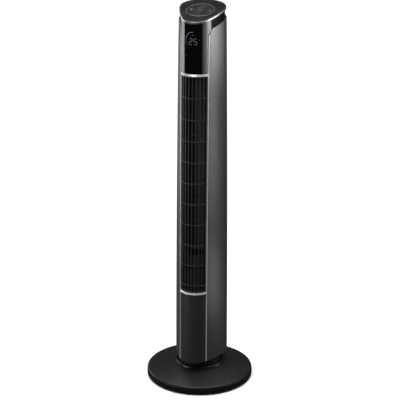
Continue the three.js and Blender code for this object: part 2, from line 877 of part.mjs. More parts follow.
add(
  "motor_cover",
  wall({ from: -40, to: 40, inset: 9, inner: 11, bottom: 284, top: 389, step: 10 }),
  INNER_PLASTIC,
);

// The air guides: curved walls each side of the impeller, opening towards the grille.
function guideShape(side, nearR, farR) {
  const points = [];
  const count = 9;
  const arc = (extra) =>
    Array.from({ length: count + 1 }, (_, i) => {
      const turn = THREE.MathUtils.degToRad(50 + (i * 85) / count);
      const r = farR + (nearR - farR) * (i / count) + extra;
      return new THREE.Vector2(side * r * Math.sin(turn), -r * Math.cos(turn));
    });
  points.push(...arc(0), ...arc(1.8).reverse());
  return new THREE.Shape(points);
}
for (const [name, side, radius, outerRadius] of [
  ["air_guide", -1, 49, 50.5],
  ["air_cutoff", 1, 49, 48.5],
]) {
  const guide = extrude(guideShape(side, radius, outerRadius), IMPELLER_BOTTOM - 2, IMPELLER_TOP);
  add(name, guide, INNER_PLASTIC).position.y = IMPELLER_Y;
}
add("power_board", box(-32, 32, 10, 11.6, 165, 262), BOARD_GREEN);

// ---- The cord's gland, and the rear screws --------------------------------------------------------

const glandY = place(HALF_ROUND, 0, GLAND_Z)[1];
const gland = turned([[3.6, -6], [5.9, -6], [5.9, 0.4], [8.4, 0.4], [7.4, 3.2], [3.6, 3.2]], 24)
  .rotateX(-Math.PI / 2)
  .translate(0, glandY, GLAND_Z);
add("cord_gland", gland, RUBBER);

const SCREW_SPOTS = [[INTAKE_FROM - 7, 150], [INTAKE_FROM - 7, 940]];
SCREW_SPOTS.forEach(([station, z], row) => {
  for (const [side, sign] of [["right", 1], ["left", -1]]) {
    const [x, y] = place(sign * station, 0, z);
    const [nextX, nextY] = place(sign * (station + 1), 0, z);
    const turn = Math.atan2(sign * (x - nextX), sign * (nextY - y));
    const screw = rod(3.4, 0.45, 1.7, 12).rotateX(Math.PI / 2).rotateZ(turn + Math.PI / 2);
    add(`rear_screw_${side}_${row + 1}`, screw, STEEL).position.set(x, y, z);
  }
});

export default fan;
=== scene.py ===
"""A tower fan: a tall tapering housing that swings on a round weighted base.

Every section is one piece of the fan, from the floor upwards. Lengths are in millimetres up to add_piece,
which puts them into metres. The front is -Y, and +Z is up.
"""
import math

import bmesh
import bpy
import numpy as np
from mathutils import Matrix, Vector


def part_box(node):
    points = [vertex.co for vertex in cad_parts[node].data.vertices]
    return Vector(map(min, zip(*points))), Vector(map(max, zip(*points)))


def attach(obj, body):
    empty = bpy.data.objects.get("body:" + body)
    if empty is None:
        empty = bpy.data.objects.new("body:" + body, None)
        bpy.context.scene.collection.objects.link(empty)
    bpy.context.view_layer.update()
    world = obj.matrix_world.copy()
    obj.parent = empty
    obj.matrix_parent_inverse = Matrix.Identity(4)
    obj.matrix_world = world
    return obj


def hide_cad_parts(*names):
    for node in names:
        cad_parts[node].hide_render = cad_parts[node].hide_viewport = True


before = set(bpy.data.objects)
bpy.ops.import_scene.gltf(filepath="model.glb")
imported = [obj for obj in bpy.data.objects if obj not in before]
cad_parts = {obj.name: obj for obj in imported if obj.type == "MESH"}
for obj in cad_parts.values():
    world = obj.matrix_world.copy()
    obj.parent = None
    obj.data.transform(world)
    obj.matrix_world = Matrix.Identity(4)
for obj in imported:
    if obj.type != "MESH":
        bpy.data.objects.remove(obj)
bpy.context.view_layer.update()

# ---- The studio ----------------------------------------------------------------------------------
# A pale seamless floor under a broad overhead sky. Soft boxes stand on both sides at the height of the head,
# of the wall and of the base, and one hangs high in front. Those for the head are close, so the light fades
# down the housing.

FLOOR_HALF = 60.0
CAMERA_AZIMUTH = math.radians(16.0)
CAMERA_PITCH = math.radians(19.27)
CAMERA_ROLL = 0.0026
CAMERA_AWAY = 3.6486
CAMERA_HEIGHT = 1.8012
CAMERA_LENS = 125.86


def plain_material(name, colour, roughness):
    """A material with one colour and one roughness, for the stage only."""
    material = bpy.data.materials.new(name)
    material.use_nodes = True
    shader = material.node_tree.nodes["Principled BSDF"]
    shader.inputs["Base Color"].default_value = (*colour, 1)
    shader.inputs["Roughness"].default_value = roughness
    shader.inputs["Specular IOR Level"].default_value = 0.0
    return material


def soft_box(name, at, target, size, power):
    """A square area light at a point, turned to face its target."""
    data = bpy.data.lights.new(name, "AREA")
    data.size = size
    data.energy = power
    light = bpy.data.objects.new(name, data)
    light.location = at
    light.rotation_euler = (Vector(target) - Vector(at)).to_track_quat("-Z", "Y").to_euler()
    light.visible_camera = False
    bpy.context.scene.collection.objects.link(light)
    return light


floor_mesh = bpy.data.meshes.new("studio_floor")
corners = [(-1, -1), (1, -1), (1, 1), (-1, 1)]
floor_mesh.from_pydata([(x * FLOOR_HALF, y * FLOOR_HALF, 0) for x, y in corners], [], [(0, 1, 2, 3)])
studio_floor = bpy.data.objects.new("studio_floor", floor_mesh)
floor_mesh.materials.append(plain_material("floor_white", (0.9, 0.9, 0.9), 0.9))
bpy.context.scene.collection.objects.link(studio_floor)
studio_floor.visible_diffuse = False
studio_floor.visible_glossy = False
bpy.context.scene.view_settings.view_transform = "Standard"

sky = bpy.data.worlds.new("studio_sky")
sky.use_nodes = True
sky_nodes, sky_links = sky.node_tree.nodes, sky.node_tree.links
sky_nodes["Background"].inputs["Color"].default_value = (0.06, 0.06, 0.062, 1)
backdrop = sky_nodes.new("ShaderNodeBackground")
backdrop.inputs["Color"].default_value = (1, 1, 1, 1)
seen_or_not = sky_nodes.new("ShaderNodeLightPath")
sky_mix = sky_nodes.new("ShaderNodeMixShader")
sky_links.new(seen_or_not.outputs["Is Camera Ray"], sky_mix.inputs["Fac"])
sky_links.new(sky_nodes["Background"].outputs["Background"], sky_mix.inputs[1])
sky_links.new(backdrop.outputs["Background"], sky_mix.inputs[2])
sky_links.new(sky_mix.outputs["Shader"], sky_nodes["World Output"].inputs["Surface"])
bpy.context.scene.world = sky

overhead_data = bpy.data.lights.new("overhead", "SUN")
overhead_data.energy = 3.7
overhead_data.angle = math.radians(70)
overhead = bpy.data.objects.new("overhead", overhead_data)
bpy.context.scene.collection.objects.link(overhead)

for name, azimuth, away, height, aim, size, power in (
    ("wall_right", 100, 1.2, 0.42, 0.5, 0.5, 1.0),
    ("low_right", 100, 0.5, 0.13, 0.13, 0.2, 0.11),
    ("wall_left", -105, 1.6, 0.6, 0.5, 1.0, 7.0),
    ("head_right", 102, 0.6, 0.94, 1.0, 0.25, 0.95),
    ("head_side", 74, 0.6, 0.95, 1.0, 0.25, 0.12),
    ("head_left", -130, 0.45, 1.1, 0.95, 0.3, 0.9),
    ("high_front", -10, 0.9, 1.45, 0.92, 0.4, 4.2),
    ("low_left", -50, 1.2, 0.25, 0.15, 0.4, 2.0),
):
    a = math.radians(azimuth)
    soft_box(name, (away * math.sin(a), -away * math.cos(a), height), (0, 0, aim), size, power)

camera_data = bpy.data.cameras.new("camera")
camera_data.lens = CAMERA_LENS
camera_data.sensor_width = 36.0
camera_data.clip_end = 200.0
camera = bpy.data.objects.new("camera", camera_data)
camera.location = (
    CAMERA_AWAY * math.sin(CAMERA_AZIMUTH),
    -CAMERA_AWAY * math.cos(CAMERA_AZIMUTH),
    CAMERA_HEIGHT,
)
turn = Matrix.Rotation(CAMERA_AZIMUTH, 3, "Z")
tilt_down = Matrix.Rotation(math.pi / 2 - CAMERA_PITCH, 3, "X")
camera.rotation_euler = (turn @ tilt_down @ Matrix.Rotation(CAMERA_ROLL, 3, "Z")).to_euler()
bpy.context.scene.collection.objects.link(camera)
bpy.context.scene.camera = camera

# ---- The base cover ------------------------------------------------------------------------------
# One injection moulding in black ABS with a fine spark-eroded texture: a rounded rim, a shallow cone up
# to a flat deck, and a hub underneath that the tower's spindle turns in.

MM = 0.001
SMOOTH_ANGLE = math.radians(40)
ROUND_STEPS = 5
TURNED_SIDES = 192


def finish_of(name, colour, roughness, metallic=0.0, specular=0.5, coat=0.0, coat_roughness=0.1):
    """A shader with its constant values set on its own sockets; patterns are joined to it afterwards."""
    material = bpy.data.materials.new(name)
    material.use_nodes = True
    sockets = material.node_tree.nodes["Principled BSDF"].inputs
    sockets["Base Color"].default_value = (*colour, 1)
    sockets["Roughness"].default_value = roughness
    sockets["Metallic"].default_value = metallic
    sockets["Specular IOR Level"].default_value = specular
    sockets["Coat Weight"].default_value = coat
    sockets["Coat Roughness"].default_value = coat_roughness
    return material


def noise_in(material, scale, detail=3.0, stretch=(1, 1, 1)):
    """Noise on the object's own coordinates, in cycles a metre. A share under one stretches an axis."""
    nodes, links = material.node_tree.nodes, material.node_tree.links
    place_at = nodes.new("ShaderNodeTexCoord")
    mapping = nodes.new("ShaderNodeMapping")
    mapping.inputs["Scale"].default_value = stretch
    noise = nodes.new("ShaderNodeTexNoise")
    noise.inputs["Scale"].default_value = scale
    noise.inputs["Detail"].default_value = detail
    links.new(place_at.outputs["Object"], mapping.inputs["Vector"])
    links.new(mapping.outputs["Vector"], noise.inputs["Vector"])
    return noise.outputs["Fac"]


def vary_colour(material, source, low, high, span=(0.35, 0.65)):
    """The base colour runs from low to high as the source crosses the span."""
    nodes, links = material.node_tree.nodes, material.node_tree.links
    ramp = nodes.new("ShaderNodeValToRGB")
    ramp.color_ramp.elements[0].position, ramp.color_ramp.elements[1].position = span
    ramp.color_ramp.elements[0].color = (*low, 1)
    ramp.color_ramp.elements[1].color = (*high, 1)
    links.new(source, ramp.inputs["Fac"])
    links.new(ramp.outputs["Color"], nodes["Principled BSDF"].inputs["Base Color"])


def vary_roughness(material, source, low, high):
    """The roughness runs from low to high as the source goes from 0.3 to 0.7."""
    nodes, links = material.node_tree.nodes, material.node_tree.links
    span = nodes.new("ShaderNodeMapRange")
    for socket, number in zip(("From Min", "From Max", "To Min", "To Max"), (0.3, 0.7, low, high)):
        span.inputs[socket].default_value = number
    links.new(source, span.inputs["Value"])
    links.new(span.outputs["Result"], nodes["Principled BSDF"].inputs["Roughness"])


def emboss(material, source, height):
    """A bump that lifts the surface by height, in metres, where the source is brightest."""
    nodes, links = material.node_tree.nodes, material.node_tree.links
    bump = nodes.new("ShaderNodeBump")
    bump.inputs["Strength"].default_value = 1.0
    bump.inputs["Distance"].default_value = height
    links.new(source, bump.inputs["Height"])
    links.new(bump.outputs["Normal"], nodes["Principled BSDF"].inputs["Normal"])


def textured_plastic(name, dark, light, rough_low, rough_high, grain, specular=0.5):
    """Moulded plastic: a faint mottle, uneven gloss from handling, and a spark-eroded grain."""
    material = finish_of(name, dark, rough_low, specular=specular)
    vary_colour(material, noise_in(material, 900, 4), dark, light)
    vary_roughness(material, noise_in(material, 14, 4), rough_low, rough_high)
    emboss(material, noise_in(material, 2600, 2), grain)
    return material


def fillet(corners):
    """A closed outline from (x, y, radius) corners. Each corner becomes a curve between its two tangent
    points by (1-t)^2 A + 2t(1-t) P + t^2 B, which is close to the arc of that radius."""
    table = np.array(corners, float)
    p, radius = table[:, :2], table[:, 2:]
    to_last, to_next = np.roll(p, 1, 0) - p, np.roll(p, -1, 0) - p
    far_last, far_next = (np.linalg.norm(v, axis=1, keepdims=True) for v in (to_last, to_next))
    to_last, to_next = to_last / far_last, to_next / far_next
    opening = np.arccos(np.clip((to_last * to_next).sum(1, keepdims=True), -1, 1))
    reach = np.minimum(radius / np.tan(opening / 2), 0.49 * np.minimum(far_last, far_next))
    t = np.linspace(0, 1, ROUND_STEPS)[None, :, None]
    a, b = (p + to_last * reach)[:, None], (p + to_next * reach)[:, None]
    curve = (1 - t) ** 2 * a + 2 * t * (1 - t) * p[:, None] + t**2 * b
    return curve.reshape(-1, 2)


def loft(rings, closed=False, ladder=False):
    """Points and faces of a skin over rings of equal length, each ring closed on itself. An open skin has
    its two ends filled: a ladder joins a wall's outer side to its inner side, and otherwise the end is one
    face."""
    count, around = rings.shape[:2]
    ids = np.arange(count * around).reshape(count, around)
    here, there = (ids, np.roll(ids, -1, 0)) if closed else (ids[:-1], ids[1:])
    sides = np.stack([here, np.roll(here, -1, 1), np.roll(there, -1, 1), there], -1).reshape(-1, 4)
    faces = sides.tolist()
    if not closed:
        for end in (ids[0], ids[-1]):
            if ladder:
                half = around // 2
                outer, inner = end[:half], end[half:][::-1]
                faces += np.stack([outer[:-1], outer[1:], inner[1:], inner[:-1]], -1).tolist()
            else:
                faces.append(end.tolist())
    return rings.reshape(-1, 3), faces


def joined(parts):
    """Several skins as one set of points and faces."""
    points, faces, start = [], [], 0
    for part_points, part_faces in parts:
        points.append(part_points)
        faces += [[start + i for i in face] for face in part_faces]
        start += len(part_points)
    return np.concatenate(points), faces


def turned(profile, centre=(0, 0), sides=TURNED_SIDES):
    """A profile of (radius, height) points carried round the vertical axis through the centre."""
    angle = np.linspace(0, 2 * np.pi, sides, endpoint=False)[:, None]
    radius, height = profile[None, :, 0], profile[None, :, 1]
    x, y = centre[0] + radius * np.cos(angle), centre[1] + radius * np.sin(angle)
    return loft(np.stack([x, y, height + 0 * angle], -1), closed=True)


def add_piece(name, shape, material, body, slot, *replaced):
    """Make the piece's mesh in metres with its faces outwards, and hang it on its body."""
    points, faces = shape
    mesh = bpy.data.meshes.new(name)
    mesh.from_pydata((points * MM).tolist(), [], faces)
    work = bmesh.new()
    work.from_mesh(mesh)
    bmesh.ops.remove_doubles(work, verts=work.verts, dist=2e-6)
    bmesh.ops.dissolve_degenerate(work, edges=work.edges, dist=1e-6)
    bmesh.ops.recalc_face_normals(work, faces=work.faces)
    work.to_mesh(mesh)
    work.free()
    mesh.shade_smooth()
    mesh.set_sharp_from_angle(angle=SMOOTH_ANGLE)
    mesh.materials.append(material)
    piece = bpy.data.objects.new(name, mesh)
    bpy.context.scene.collection.objects.link(piece)
    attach(piece, body)
    if replaced:
        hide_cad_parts(*replaced)
    return piece


def box_mm(node):
    """A CAD node's lowest and highest corners, in millimetres."""
    low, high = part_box(node)
    return np.array(low) / MM, np.array(high) / MM


base_plastic = textured_plastic(
    "base_plastic", (0.008, 0.008, 0.0085), (0.011, 0.011, 0.0115), 0.34, 0.46, 1.2e-5, specular=0.2
)
(_, _, cover_low), (base_r, _, deck_z) = box_mm("base_cover")
cover_profile = fillet(
    [
        (base_r, cover_low, 0.6),
        (base_r, 23.8, 8.0),
        (73, deck_z - 0.2, 6.0),
        (56, deck_z, 0.1),
        (16.6, deck_z, 0.3),
        (16.6, 20, 0.3),
        (25, 20, 0.5),
        (25, 37.5, 1.0),
        (70, 37.5, 2.0),
        (143.5, 20.8, 4.0),
        (146.8, 17, 1.0),
        (146.8, cover_low, 0.3),
    ]
)
add_piece("base_shell", turned(cover_profile), base_plastic, "base", "black_plastic", "base_cover")

# ---- The collar ----------------------------------------------------------------------------------
# A separate ring of polished black plastic, pressed on to the deck round the neck. It hides the swing
# gear, and its rounded lip catches the light.

collar_black = finish_of("collar_black", (0.007, 0.007, 0.008), 0.3, specular=0.35)
vary_roughness(collar_black, noise_in(collar_black, 30, 4), 0.26, 0.36)
(_, _, collar_low), (collar_r, _, collar_top) = box_mm("base_collar")
collar_profile = fillet(
    [
        (62.6, collar_low, 0.3),
        (62.6, collar_top - 0.6, 1.4),
        (67.4, collar_top + 0.1, 2.2),
        (collar_r, collar_low, 0.8),
    ]
)
add_piece("base_collar_ring", turned(collar_profile), collar_black, "base", "gloss_black", "base_collar")

# ---- Under the base ------------------------------------------------------------------------------
# A cast ring gives the base its weight. A black plate closes it from below, held by three screws, and the
# fan stands on five moulded rubber feet that are pressed into the plate.

FOOT_RING = 128
FOOT_COUNT = 5
BASE_SCREW_COUNT = 3

cast_iron = finish_of("cast_iron", (0.07, 0.07, 0.07), 0.7, metallic=0.6)
vary_colour(cast_iron, noise_in(cast_iron, 160, 6), (0.05, 0.048, 0.046), (0.1, 0.098, 0.095))
emboss(cast_iron, noise_in(cast_iron, 700, 5), 1e-4)
rubber = finish_of("rubber", (0.016, 0.016, 0.016), 0.8, specular=0.3)
vary_colour(rubber, noise_in(rubber, 400, 4), (0.012, 0.012, 0.012), (0.024, 0.024, 0.023))
emboss(rubber, noise_in(rubber, 1800, 3), 3e-5)
zinc_steel = finish_of("zinc_steel", (0.45, 0.45, 0.46), 0.35, metallic=1.0)
vary_colour(zinc_steel, noise_in(zinc_steel, 120, 5), (0.36, 0.36, 0.37), (0.52, 0.52, 0.53))
vary_roughness(zinc_steel, noise_in(zinc_steel, 300, 3), 0.28, 0.46)

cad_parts["base_weight"].material_slots[0].material = cast_iron
plate_low, plate_high = (corner[2] for corner in box_mm("base_plate"))
plate_profile = fillet(
    [
        (0, plate_low, 0),
        (60, plate_low, 0.2),
        (61, plate_low + 0.6, 0.2),
        (64, plate_low + 0.6, 0.2),
        (65, plate_low, 0.2),
        (110, plate_low, 0.2),
        (111, plate_low + 0.6, 0.2),
        (114, plate_low + 0.6, 0.2),
        (115, plate_low, 0.2),
        (146.2, plate_low, 0.8),
        (146.2, plate_high, 0.4),
        (0, plate_high, 0),
    ]
)
add_piece("base_bottom", turned(plate_profile), base_plastic, "base", "black_plastic", "base_plate")

foot_profile = fillet(
    [
        (0, 0, 0),
        (5.2, 0, 0.1),
        (5.6, 0.5, 0.1),
        (6.6, 0.5, 0.1),
        (7.0, 0, 0.1),
        (9.2, 0, 0.4),
        (10, 1.4, 0.5),
        (10, 3.7, 0.1),
        (0, 3.7, 0),
    ]
)
for i in range(FOOT_COUNT):
    turn_to = -math.pi / 2 + i * 2 * math.pi / FOOT_COUNT
    at = (FOOT_RING * math.cos(turn_to), FOOT_RING * math.sin(turn_to))
    foot = turned(foot_profile, at, sides=48)
    add_piece(f"foot_{i + 1}", foot, rubber, "base", "rubber", f"rubber_foot_{i + 1}")


def screw_head(centre, normal, radius, height):
    """A low domed head: height (1 - 0.4 (r/R)^2), less a cross-shaped recess that has straight sides."""
    r = radius * np.r_[np.linspace(0, 0.94, 22), 1.0][:, None]
    angle = np.linspace(0, 2 * np.pi, 96, endpoint=False)[None, :]
    x, y = r * np.cos(angle), r * np.sin(angle)
    arm = np.clip((0.14 * radius - np.minimum(abs(x), abs(y))) / (0.06 * radius) + 1, 0, 1)
    reach = np.clip((0.52 * radius - np.maximum(abs(x), abs(y))) / (0.08 * radius) + 1, 0, 1)
    top = height * (1 - 0.4 * (r / radius) ** 2) - 0.5 * height * arm * reach
    cap = np.stack([x, y, top], -1)
    foot_ring = np.stack([x[-1], y[-1], 0 * x[-1]], -1)[None]
    rings = np.concatenate([cap, foot_ring, foot_ring * 0])
    local, faces = loft(rings, closed=False)
    faces = faces[:-2]
    n = np.array(normal, float) / np.linalg.norm(normal)
    side = np.cross(n, (0, 0, 1)) if abs(n[2]) < 0.9 else np.array((1.0, 0, 0))
    side /= np.linalg.norm(side)
    axes = np.stack([side, np.cross(n, side), n])
    return local @ axes + np.array(centre), faces


for i in range(BASE_SCREW_COUNT):
    name = f"base_screw_{i + 1}"
    low, high = box_mm(name)
    centre = ((low[0] + high[0]) / 2, (low[1] + high[1]) / 2, high[2])
    head = screw_head(centre, (0, 0, -1), 4.0, high[2] - low[2])
    add_piece(f"{name}_head", head, zinc_steel, "base", "steel", name)

# ---- The swing drive -----------------------------------------------------------------------------
# A toothed sector is fixed to the deck, and a pinion on the swing motor's shaft rolls along it. Both are
# cut in natural nylon, with a nylon thrust ring that the whole tower slides round on.

nylon = finish_of("nylon", (0.7, 0.69, 0.62), 0.5)
vary_colour(nylon, noise_in(nylon, 200, 3), (0.64, 0.63, 0.56), (0.74, 0.73, 0.66))
vary_roughness(nylon, noise_in(nylon, 500, 3), 0.42, 0.58)
inner_plastic = textured_plastic("inner_plastic", (0.02, 0.02, 0.021), (0.028, 0.028, 0.03), 0.5, 0.65, 2e-5)
for node in ("swing_sector", "swing_pinion", "thrust_ring"):
    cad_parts[node].material_slots[0].material = nylon
for node in ("spindle", "spindle_nut"):
    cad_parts[node].material_slots[0].material = inner_plastic
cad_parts["swing_motor"].material_slots[0].material = zinc_steel

# ---- The tower's floor ---------------------------------------------------------------------------
# A black moulding that closes the housing from below. Its round skirt turns inside the collar, and it
# follows the housing's outline: a small nose arc, two nearly flat flanks and a large back arc.

NOSE_R = 44
NOSE_Y = -44
FLANK_R = 250
BACK_R = 73
BACK_Y = 20
TAPER_FROM = 60
TAPER_OVER = 1000
TAPER_POWER = 1.6
TAPER_SHARE = 0.12
NOSE_KEEP = 0.1
BACK_FLATTEN = 0.3
LEAN_BACK = 6
TILT = math.radians(14.2)
TOP_AT_AXIS = 1057
GAP = 0.4


def section_at(z):
    """The housing's section at a height, as three arcs for each half. The flank's circle holds the nose
    circle and the back circle and touches both. With rise = ((z - foot) / height)^power, everything shrinks
    by a share of rise, and the nose by less than the rest."""
    rise = np.maximum(0, (z - TAPER_FROM) / TAPER_OVER) ** TAPER_POWER
    k = 1 - TAPER_SHARE * rise
    nose_r, back_r, flank_r = NOSE_R * (k + NOSE_KEEP * rise), BACK_R * k, FLANK_R * k
    nose_y, back_y = (NOSE_Y - NOSE_R) * k + nose_r, BACK_Y * k
    to_nose, to_back, apart = flank_r - nose_r, flank_r - back_r, back_y - nose_y
    ahead = (apart**2 + to_nose**2 - to_back**2) / (2 * apart)
    across = np.sqrt(to_nose**2 - ahead**2)
    centres = ((0 * across, nose_y), (-across, nose_y + ahead), (0 * across, back_y))
    nose_end, flank_end = np.arctan2(across, ahead), np.arctan2(across, ahead - apart)
    return k, rise, (nose_r, flank_r, back_r), centres, nose_end, flank_end


FOOT_NOSE_END, FOOT_FLANK_END = (float(angle) for angle in section_at(np.array(0.0))[4:])
NOSE_ARC = NOSE_R * FOOT_NOSE_END
BACK_START = NOSE_ARC + FLANK_R * (FOOT_FLANK_END - FOOT_NOSE_END)
HALF_ROUND = BACK_START + BACK_R * (math.pi - FOOT_FLANK_END)


def place(station, inset, z):
    """The outline's point at a height and a station, a length round the foot from the middle of the front
    with +X positive, moved inwards by inset. Behind the widest line the section is flattened towards the
    top."""
    s, inset, z = np.broadcast_arrays(*(np.asarray(v, float) for v in (station, inset, z)))
    s = (s + HALF_ROUND) % (2 * HALF_ROUND) - HALF_ROUND
    along = abs(s)
    k, rise, radii, centres, nose_end, flank_end = section_at(z)
    nose_turn = nose_end * along / NOSE_ARC
    flank_turn = nose_end + (flank_end - nose_end) * (along - NOSE_ARC) / (BACK_START - NOSE_ARC)
    back_turn = flank_end + (np.pi - flank_end) * (along - BACK_START) / (HALF_ROUND - BACK_START)
    choose = [along < NOSE_ARC, along < BACK_START, along >= BACK_START]
    angle = np.select(choose, [nose_turn, flank_turn, back_turn])
    radius = np.select(choose, radii) - inset * k
    centre_x, centre_y = (np.select(choose, axis) for axis in zip(*centres))
    behind = np.where(angle > np.pi / 2, 1 - BACK_FLATTEN * rise, 1)
    x = np.sign(s) * (centre_x + radius * np.sin(angle))
    return np.stack([x, centre_y - radius * np.cos(angle) * behind + LEAN_BACK * rise, z], -1)


def slope_height(station, inset, drop):
    """The height at which the outline meets a plane parallel to the sloping top, drop below it."""
    z = TOP_AT_AXIS - drop
    for _ in range(4):
        z = TOP_AT_AXIS - drop + place(station, inset, z)[..., 1] * math.tan(TILT)
    return z


def from_front(station):
    """How far a station is from the middle of the front, either way round."""
    s = (np.asarray(station, float) + HALF_ROUND) % (2 * HALF_ROUND) - HALF_ROUND
    return abs(s)


def all_round(step):
    """Stations all the way round the housing."""
    return np.linspace(0, 2 * HALF_ROUND, int(2 * HALF_ROUND / step), endpoint=False)


FLOOR_LOW = 68.3
SKIRT_R = 61
SKIRT_INNER_R = 58.5

housing_black = textured_plastic(
    "housing_black", (0.012, 0.012, 0.0125), (0.017, 0.017, 0.0175), 0.36, 0.48, 1.5e-5
)
floor_low, floor_high = (corner[2] for corner in box_mm("tower_floor"))
round_s = all_round(4)[:, None]
floor_section = fillet(
    [(60, FLOOR_LOW, 0), (3.9, FLOOR_LOW, 0.8), (3.9, floor_high, 0.8), (60, floor_high, 0)]
)[None]
floor_plate = loft(place(round_s, floor_section[..., 0], floor_section[..., 1]), closed=True)
skirt = turned(
    fillet(
        [
            (SKIRT_INNER_R, floor_low, 0.4),
            (SKIRT_R, floor_low, 0.6),
            (SKIRT_R, 70, 0.1),
            (SKIRT_INNER_R, 70, 0.1),
        ]
    )
)
spindle_flange = turned(
    fillet([(11, FLOOR_LOW, 0.2), (29, FLOOR_LOW, 0.2), (29, floor_high, 0.4), (11, floor_high, 0.2)])
)
tower_foot = joined([floor_plate, skirt, spindle_flange])
add_piece("tower_foot", tower_foot, housing_black, "tower", "black_plastic", "tower_floor")

# ---- The side panels -----------------------------------------------------------------------------
# Two long ABS skins, 2.6 mm thick, sprayed in a satin metallic grey. Each is hooked over the rear housing,
# and its top edge slopes with the cap, with its front corner cut away.

SHELL_BOTTOM = 69
PANEL_FROM = 48.8
PANEL_TO = 171.8
SHOULDER_DROP = 29
CORNER_RUN = 13
CORNER_DROP = 10


def edge_section(radius, rows):
    """The outer side of a wall's section, from its bottom edge to its top edge, as three arrays: depth into
    the wall, share of the height, and offset. An edge is a quarter circle, depth = r (1 - sin a) and
    offset = r (1 - cos a)."""
    a = np.linspace(0, np.pi / 2, ROUND_STEPS)
    depth, offset = radius * (1 - np.sin(a)), radius * (1 - np.cos(a))
    share = np.linspace(0, 1, rows)
    held = (radius + 0.3) * (1 - 2 * share)
    return (
        np.r_[depth, 0 * share, depth[::-1]],
        np.r_[0 * a, share, 0 * a + 1],
        np.r_[offset, held, -offset[::-1]],
    )


def wall(start, end, inset, inner, low, high, radius=0.8, rows=30, step=2.5):
    """A curved wall between two stations, two insets and two heights, each a number or a function of the
    station. All its outer edges are rounded."""
    a = np.linspace(0, np.pi / 2, ROUND_STEPS)
    run, sink = radius * (1 - np.cos(a)), radius * (1 - np.sin(a))
    held = radius + 0.3
    middle = np.linspace(start + held, end - held, max(2, int((end - start) / step)))
    s = np.r_[start + run, middle, (end - run)[::-1]][:, None]
    extra = np.r_[sink, 0 * middle, sink[::-1]][:, None]
    depth, share, offset = edge_section(radius, rows)
    inset, inner, low, high = (v(s) if callable(v) else v + 0 * s for v in (inset, inner, low, high))
    z = low + (high - low) * share + offset
    outer_side = place(s, inset + np.maximum(depth, extra), z)
    inner_side = place(s, inner + 0 * z, z)
    return loft(np.concatenate([outer_side, inner_side[:, ::-1]], 1), ladder=True)


def corner_drop(station):
    """How far the shoulder is cut down at a side panel's front corner."""
    return CORNER_DROP * np.maximum(0, (PANEL_FROM + CORNER_RUN - from_front(station)) / CORNER_RUN)


def shoulder(station):
    """The height of the side panels' top edge."""
    return slope_height(station, 0, SHOULDER_DROP + corner_drop(station))


metallic_grey = finish_of("metallic_grey", (0.17, 0.17, 0.175), 0.36, metallic=0.85)
vary_colour(metallic_grey, noise_in(metallic_grey, 2400, 2), (0.13, 0.13, 0.135), (0.21, 0.21, 0.215))
vary_roughness(metallic_grey, noise_in(metallic_grey, 9, 3), 0.33, 0.4)
emboss(metallic_grey, noise_in(metallic_grey, 420, 2), 6e-6)
for side, start, end in (("right", PANEL_FROM, PANEL_TO), ("left", -PANEL_TO, -PANEL_FROM)):
    panel = wall(start, end, 0, 2.6, SHELL_BOTTOM, shoulder, radius=1.0, rows=48)
    add_piece(f"side_skin_{side}", panel, metallic_grey, "tower", "grey_paint", f"side_panel_{side}")

# ---- The upright strips --------------------------------------------------------------------------
# Bright strips, plated over ABS, snapped into the joint between each side panel and the front. Their faces
# are rounded, so each shows one long line of light.

STRIP_FROM = 44.0
STRIP_TO = 48.4


def upright(s_from, s_to, front, back, low, high, radius=1.0, rows=40):
    """A rounded section, in station and inset, carried up the housing."""
    section = fillet(
        [(s_from, front, radius), (s_to, front, radius), (s_to, back, 0.1), (s_from, back, 0.1)]
    )[None]
    z = np.linspace(low, high, rows)[:, None]
    return loft(place(section[..., 0], section[..., 1], z))


def level(start, end, front, back, low, high, radius=1.0, step=1.5):
    """A rounded section, in inset and height, carried round the housing."""
    section = fillet([(front, low, radius), (front, high, radius), (back, high, 0.1), (back, low, 0.1)])[None]
    s = np.linspace(start, end, max(3, int((end - start) / step)))[:, None]
    return loft(place(s, section[..., 0], section[..., 1]))


silver_plate = finish_of("silver_plate", (0.74, 0.74, 0.75), 0.42, metallic=0.6)
vary_roughness(silver_plate, noise_in(silver_plate, 60, 4, (1, 1, 0.1)), 0.38, 0.46)
emboss(silver_plate, noise_in(silver_plate, 300, 2, (1, 1, 0.2)), 3e-6)
for side, start, end in (("right", STRIP_FROM, STRIP_TO), ("left", -STRIP_TO, -STRIP_FROM)):
    low, high = box_mm(f"trim_strip_{side}")
    strip = upright(start, end, -0.6, 2.4, low[2], high[2], radius=1.6)
    add_piece(f"silver_strip_{side}", strip, silver_plate, "tower", "silver_trim", f"trim_strip_{side}")

# ---- The rear housing ----------------------------------------------------------------------------
# The main moulding, in textured black ABS. Its back shows between the side panels, with the air intake cut
# in it, and a liner runs forward under each panel.

INTAKE_FROM = 186
REAR_FROM = PANEL_TO + GAP
LINER_FROM = 52
INTAKE_EDGE = GAP


